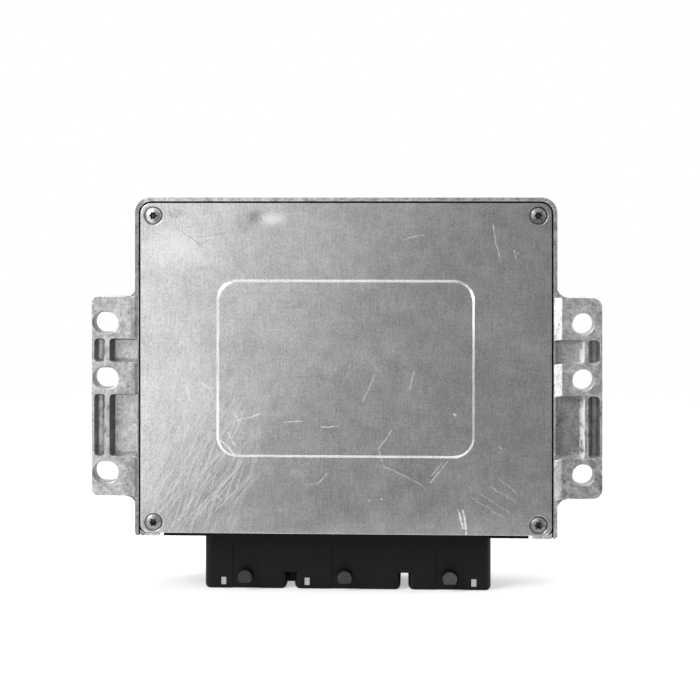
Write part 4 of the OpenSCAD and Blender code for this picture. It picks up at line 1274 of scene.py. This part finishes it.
@dataclass
class Studio:
    """Floor, light and camera, in metres."""

    eye: Spot = (0.02854, -0.67876, 0.16845)
    turn: float = math.radians(2.29)
    lens: float = 79.96
    shift: float = -0.219
    ambient: float = 0.55
    floor_reach: float = 6.0
    floor_z: float = -0.0002
    floor_tone: float = 0.6
    floor_fade: Pair = (0.22, 0.7)
    floor_glow: float = 0.45

    def build(self) -> None:
        """Makes the camera, the world, the floor, the grey card and the lamps."""
        scene = bpy.context.scene
        scene.view_settings.view_transform = "Standard"
        data = bpy.data.cameras.new("camera")
        data.lens, data.sensor_width, data.sensor_fit = self.lens, 36.0, "HORIZONTAL"
        data.shift_y = self.shift
        camera = bpy.data.objects.new("camera", data)
        camera.location = self.eye
        camera.rotation_euler = (math.radians(90), 0.0, self.turn)
        scene.collection.objects.link(camera)
        scene.camera = camera
        self.world()
        self.floor()
        self.card()
        self.lamp("key", (-1.05, -0.75, 0.95), (0.0, 0.0, 0.09), size=0.7, power=19.0)
        self.lamp("side", (1.0, 0.02, 0.3), (0.09, -0.015, 0.08), size=0.4, power=5.0)
        self.lamp("top", (-0.1, 0.25, 1.3), (0.0, 0.0, 0.05), size=0.9, power=8.0)

    @staticmethod
    def empty(holder: Look | bpy.types.World) -> Graph:
        """Empties the node tree of a material or world.

        Args:
            holder: The material or world.

        Returns:
            The graph of its tree.
        """
        holder.use_nodes = True
        holder.node_tree.nodes.clear()
        return Graph(holder.node_tree)

    @staticmethod
    def seen(g: Graph) -> Socket:
        """Finds the rays that see the background: camera, glossy and transmission rays.

        Args:
            g: The graph that asks.

        Returns:
            The socket with 1 for those rays and 0 for the others.
        """
        path = g.node("ShaderNodeLightPath")
        first = g.math("MAXIMUM", path["Is Camera Ray"], path["Is Glossy Ray"])
        return g.math("MAXIMUM", first, path["Is Transmission Ray"])

    def world(self) -> None:
        """White to the camera and in reflections, a plain ambient level for the light."""
        world = bpy.data.worlds.new("studio")
        bpy.context.scene.world = world
        g = self.empty(world)
        strength = g.ramp(self.seen(g), 0.0, 1.0, self.ambient, 1.0)
        back = g.node("ShaderNodeBackground", {"Color": (1.0, 1.0, 1.0, 1.0), "Strength": strength})
        g.node("ShaderNodeOutputWorld", {0: back[0]})

    @staticmethod
    def plane(name: str, corners: list[Spot], material: Look) -> bpy.types.Object:
        """Makes one flat stage piece.

        Args:
            name: Name of the piece.
            corners: Its corners in order.
            material: Its material.

        Returns:
            The object.
        """
        bm = bmesh.new()
        bm.faces.new([bm.verts.new(corner) for corner in corners])
        mesh = bpy.data.meshes.new(name)
        bm.to_mesh(mesh)
        bm.free()
        mesh.materials.append(material)
        obj = bpy.data.objects.new(name, mesh)
        bpy.context.scene.collection.objects.link(obj)
        return obj

    def floor(self) -> None:
        """Pale floor, white to the camera where nothing shades it."""
        made = bpy.data.materials.new("pale_floor")
        g = self.empty(made)
        away = g.ramp(g.vector("LENGTH", g.place()), *self.floor_fade)
        colour = g.blend(away, (self.floor_tone,) * 3 + (1.0,), (0.0, 0.0, 0.0, 1.0))
        matt = g.node("ShaderNodeBsdfDiffuse", {"Color": colour})
        glowing = g.math("ADD", g.times(away, 1.0 - self.floor_glow), self.floor_glow)
        power = g.times(self.seen(g), glowing)
        glow = g.node("ShaderNodeEmission", {"Strength": power})
        both = g.node("ShaderNodeAddShader", {0: matt[0], 1: glow[0]})
        g.node("ShaderNodeOutputMaterial", {0: both[0]})
        r = self.floor_reach
        self.plane("floor", [(x, y, self.floor_z) for x, y in ((-r, -r), (r, -r), (r, r), (-r, r))], made)

    def card(self) -> None:
        """Grey card on the camera's side, which only reflections see."""
        left, right, near, far, high = -0.13, 1.6, -0.075, -1.1, 1.3
        wall = [(left, far, 0.0), (right, far, 0.0), (right, far, high), (left, far, high)]
        foot = [(left, far, 0.0), (right, far, 0.0), (right, near, 0.0), (left, near, 0.0)]
        for name, corners, tone in (("card_wall", wall, 0.19), ("card_foot", foot, 0.24)):
            made = bpy.data.materials.new(name)
            g = self.empty(made)
            glow = g.node("ShaderNodeEmission", {"Color": (tone, tone, tone, 1.0)})
            g.node("ShaderNodeOutputMaterial", {0: glow[0]})
            obj = self.plane(name, corners, made)
            obj.visible_camera = obj.visible_diffuse = obj.visible_shadow = False
            obj.visible_transmission = obj.visible_volume_scatter = False

    @staticmethod
    def lamp(name: str, place: Spot, aim: Spot, size: float, power: float) -> None:
        """Makes one square soft light.

        Args:
            name: Name of the light.
            place: Where it hangs.
            aim: The point that it faces.
            size: Its side in metres.
            power: Its power in watts.
        """
        data = bpy.data.lights.new(name, "AREA")
        data.shape, data.size, data.energy = "SQUARE", size, power
        obj = bpy.data.objects.new(name, data)
        obj.location = place
        obj.rotation_euler = (Vector(aim) - Vector(place)).to_track_quat("-Z", "Y").to_euler()
        bpy.context.scene.collection.objects.link(obj)


def main() -> None:
    """Builds the studio and the sub-assemblies in order and reports each piece."""
    logging.basicConfig(level=logging.INFO, format="%(name)s: %(message)s")
    Studio().build()
    effects = Effects()
    for assembly in (CastHousing(), StampedCover(), CoverScrews(), ConnectorHeader()):
        assembly.build()
        assembly.dress(assembly.finish.material(effects))
    Electronics().dress(effects)


if __name__ == "__main__":
    main()
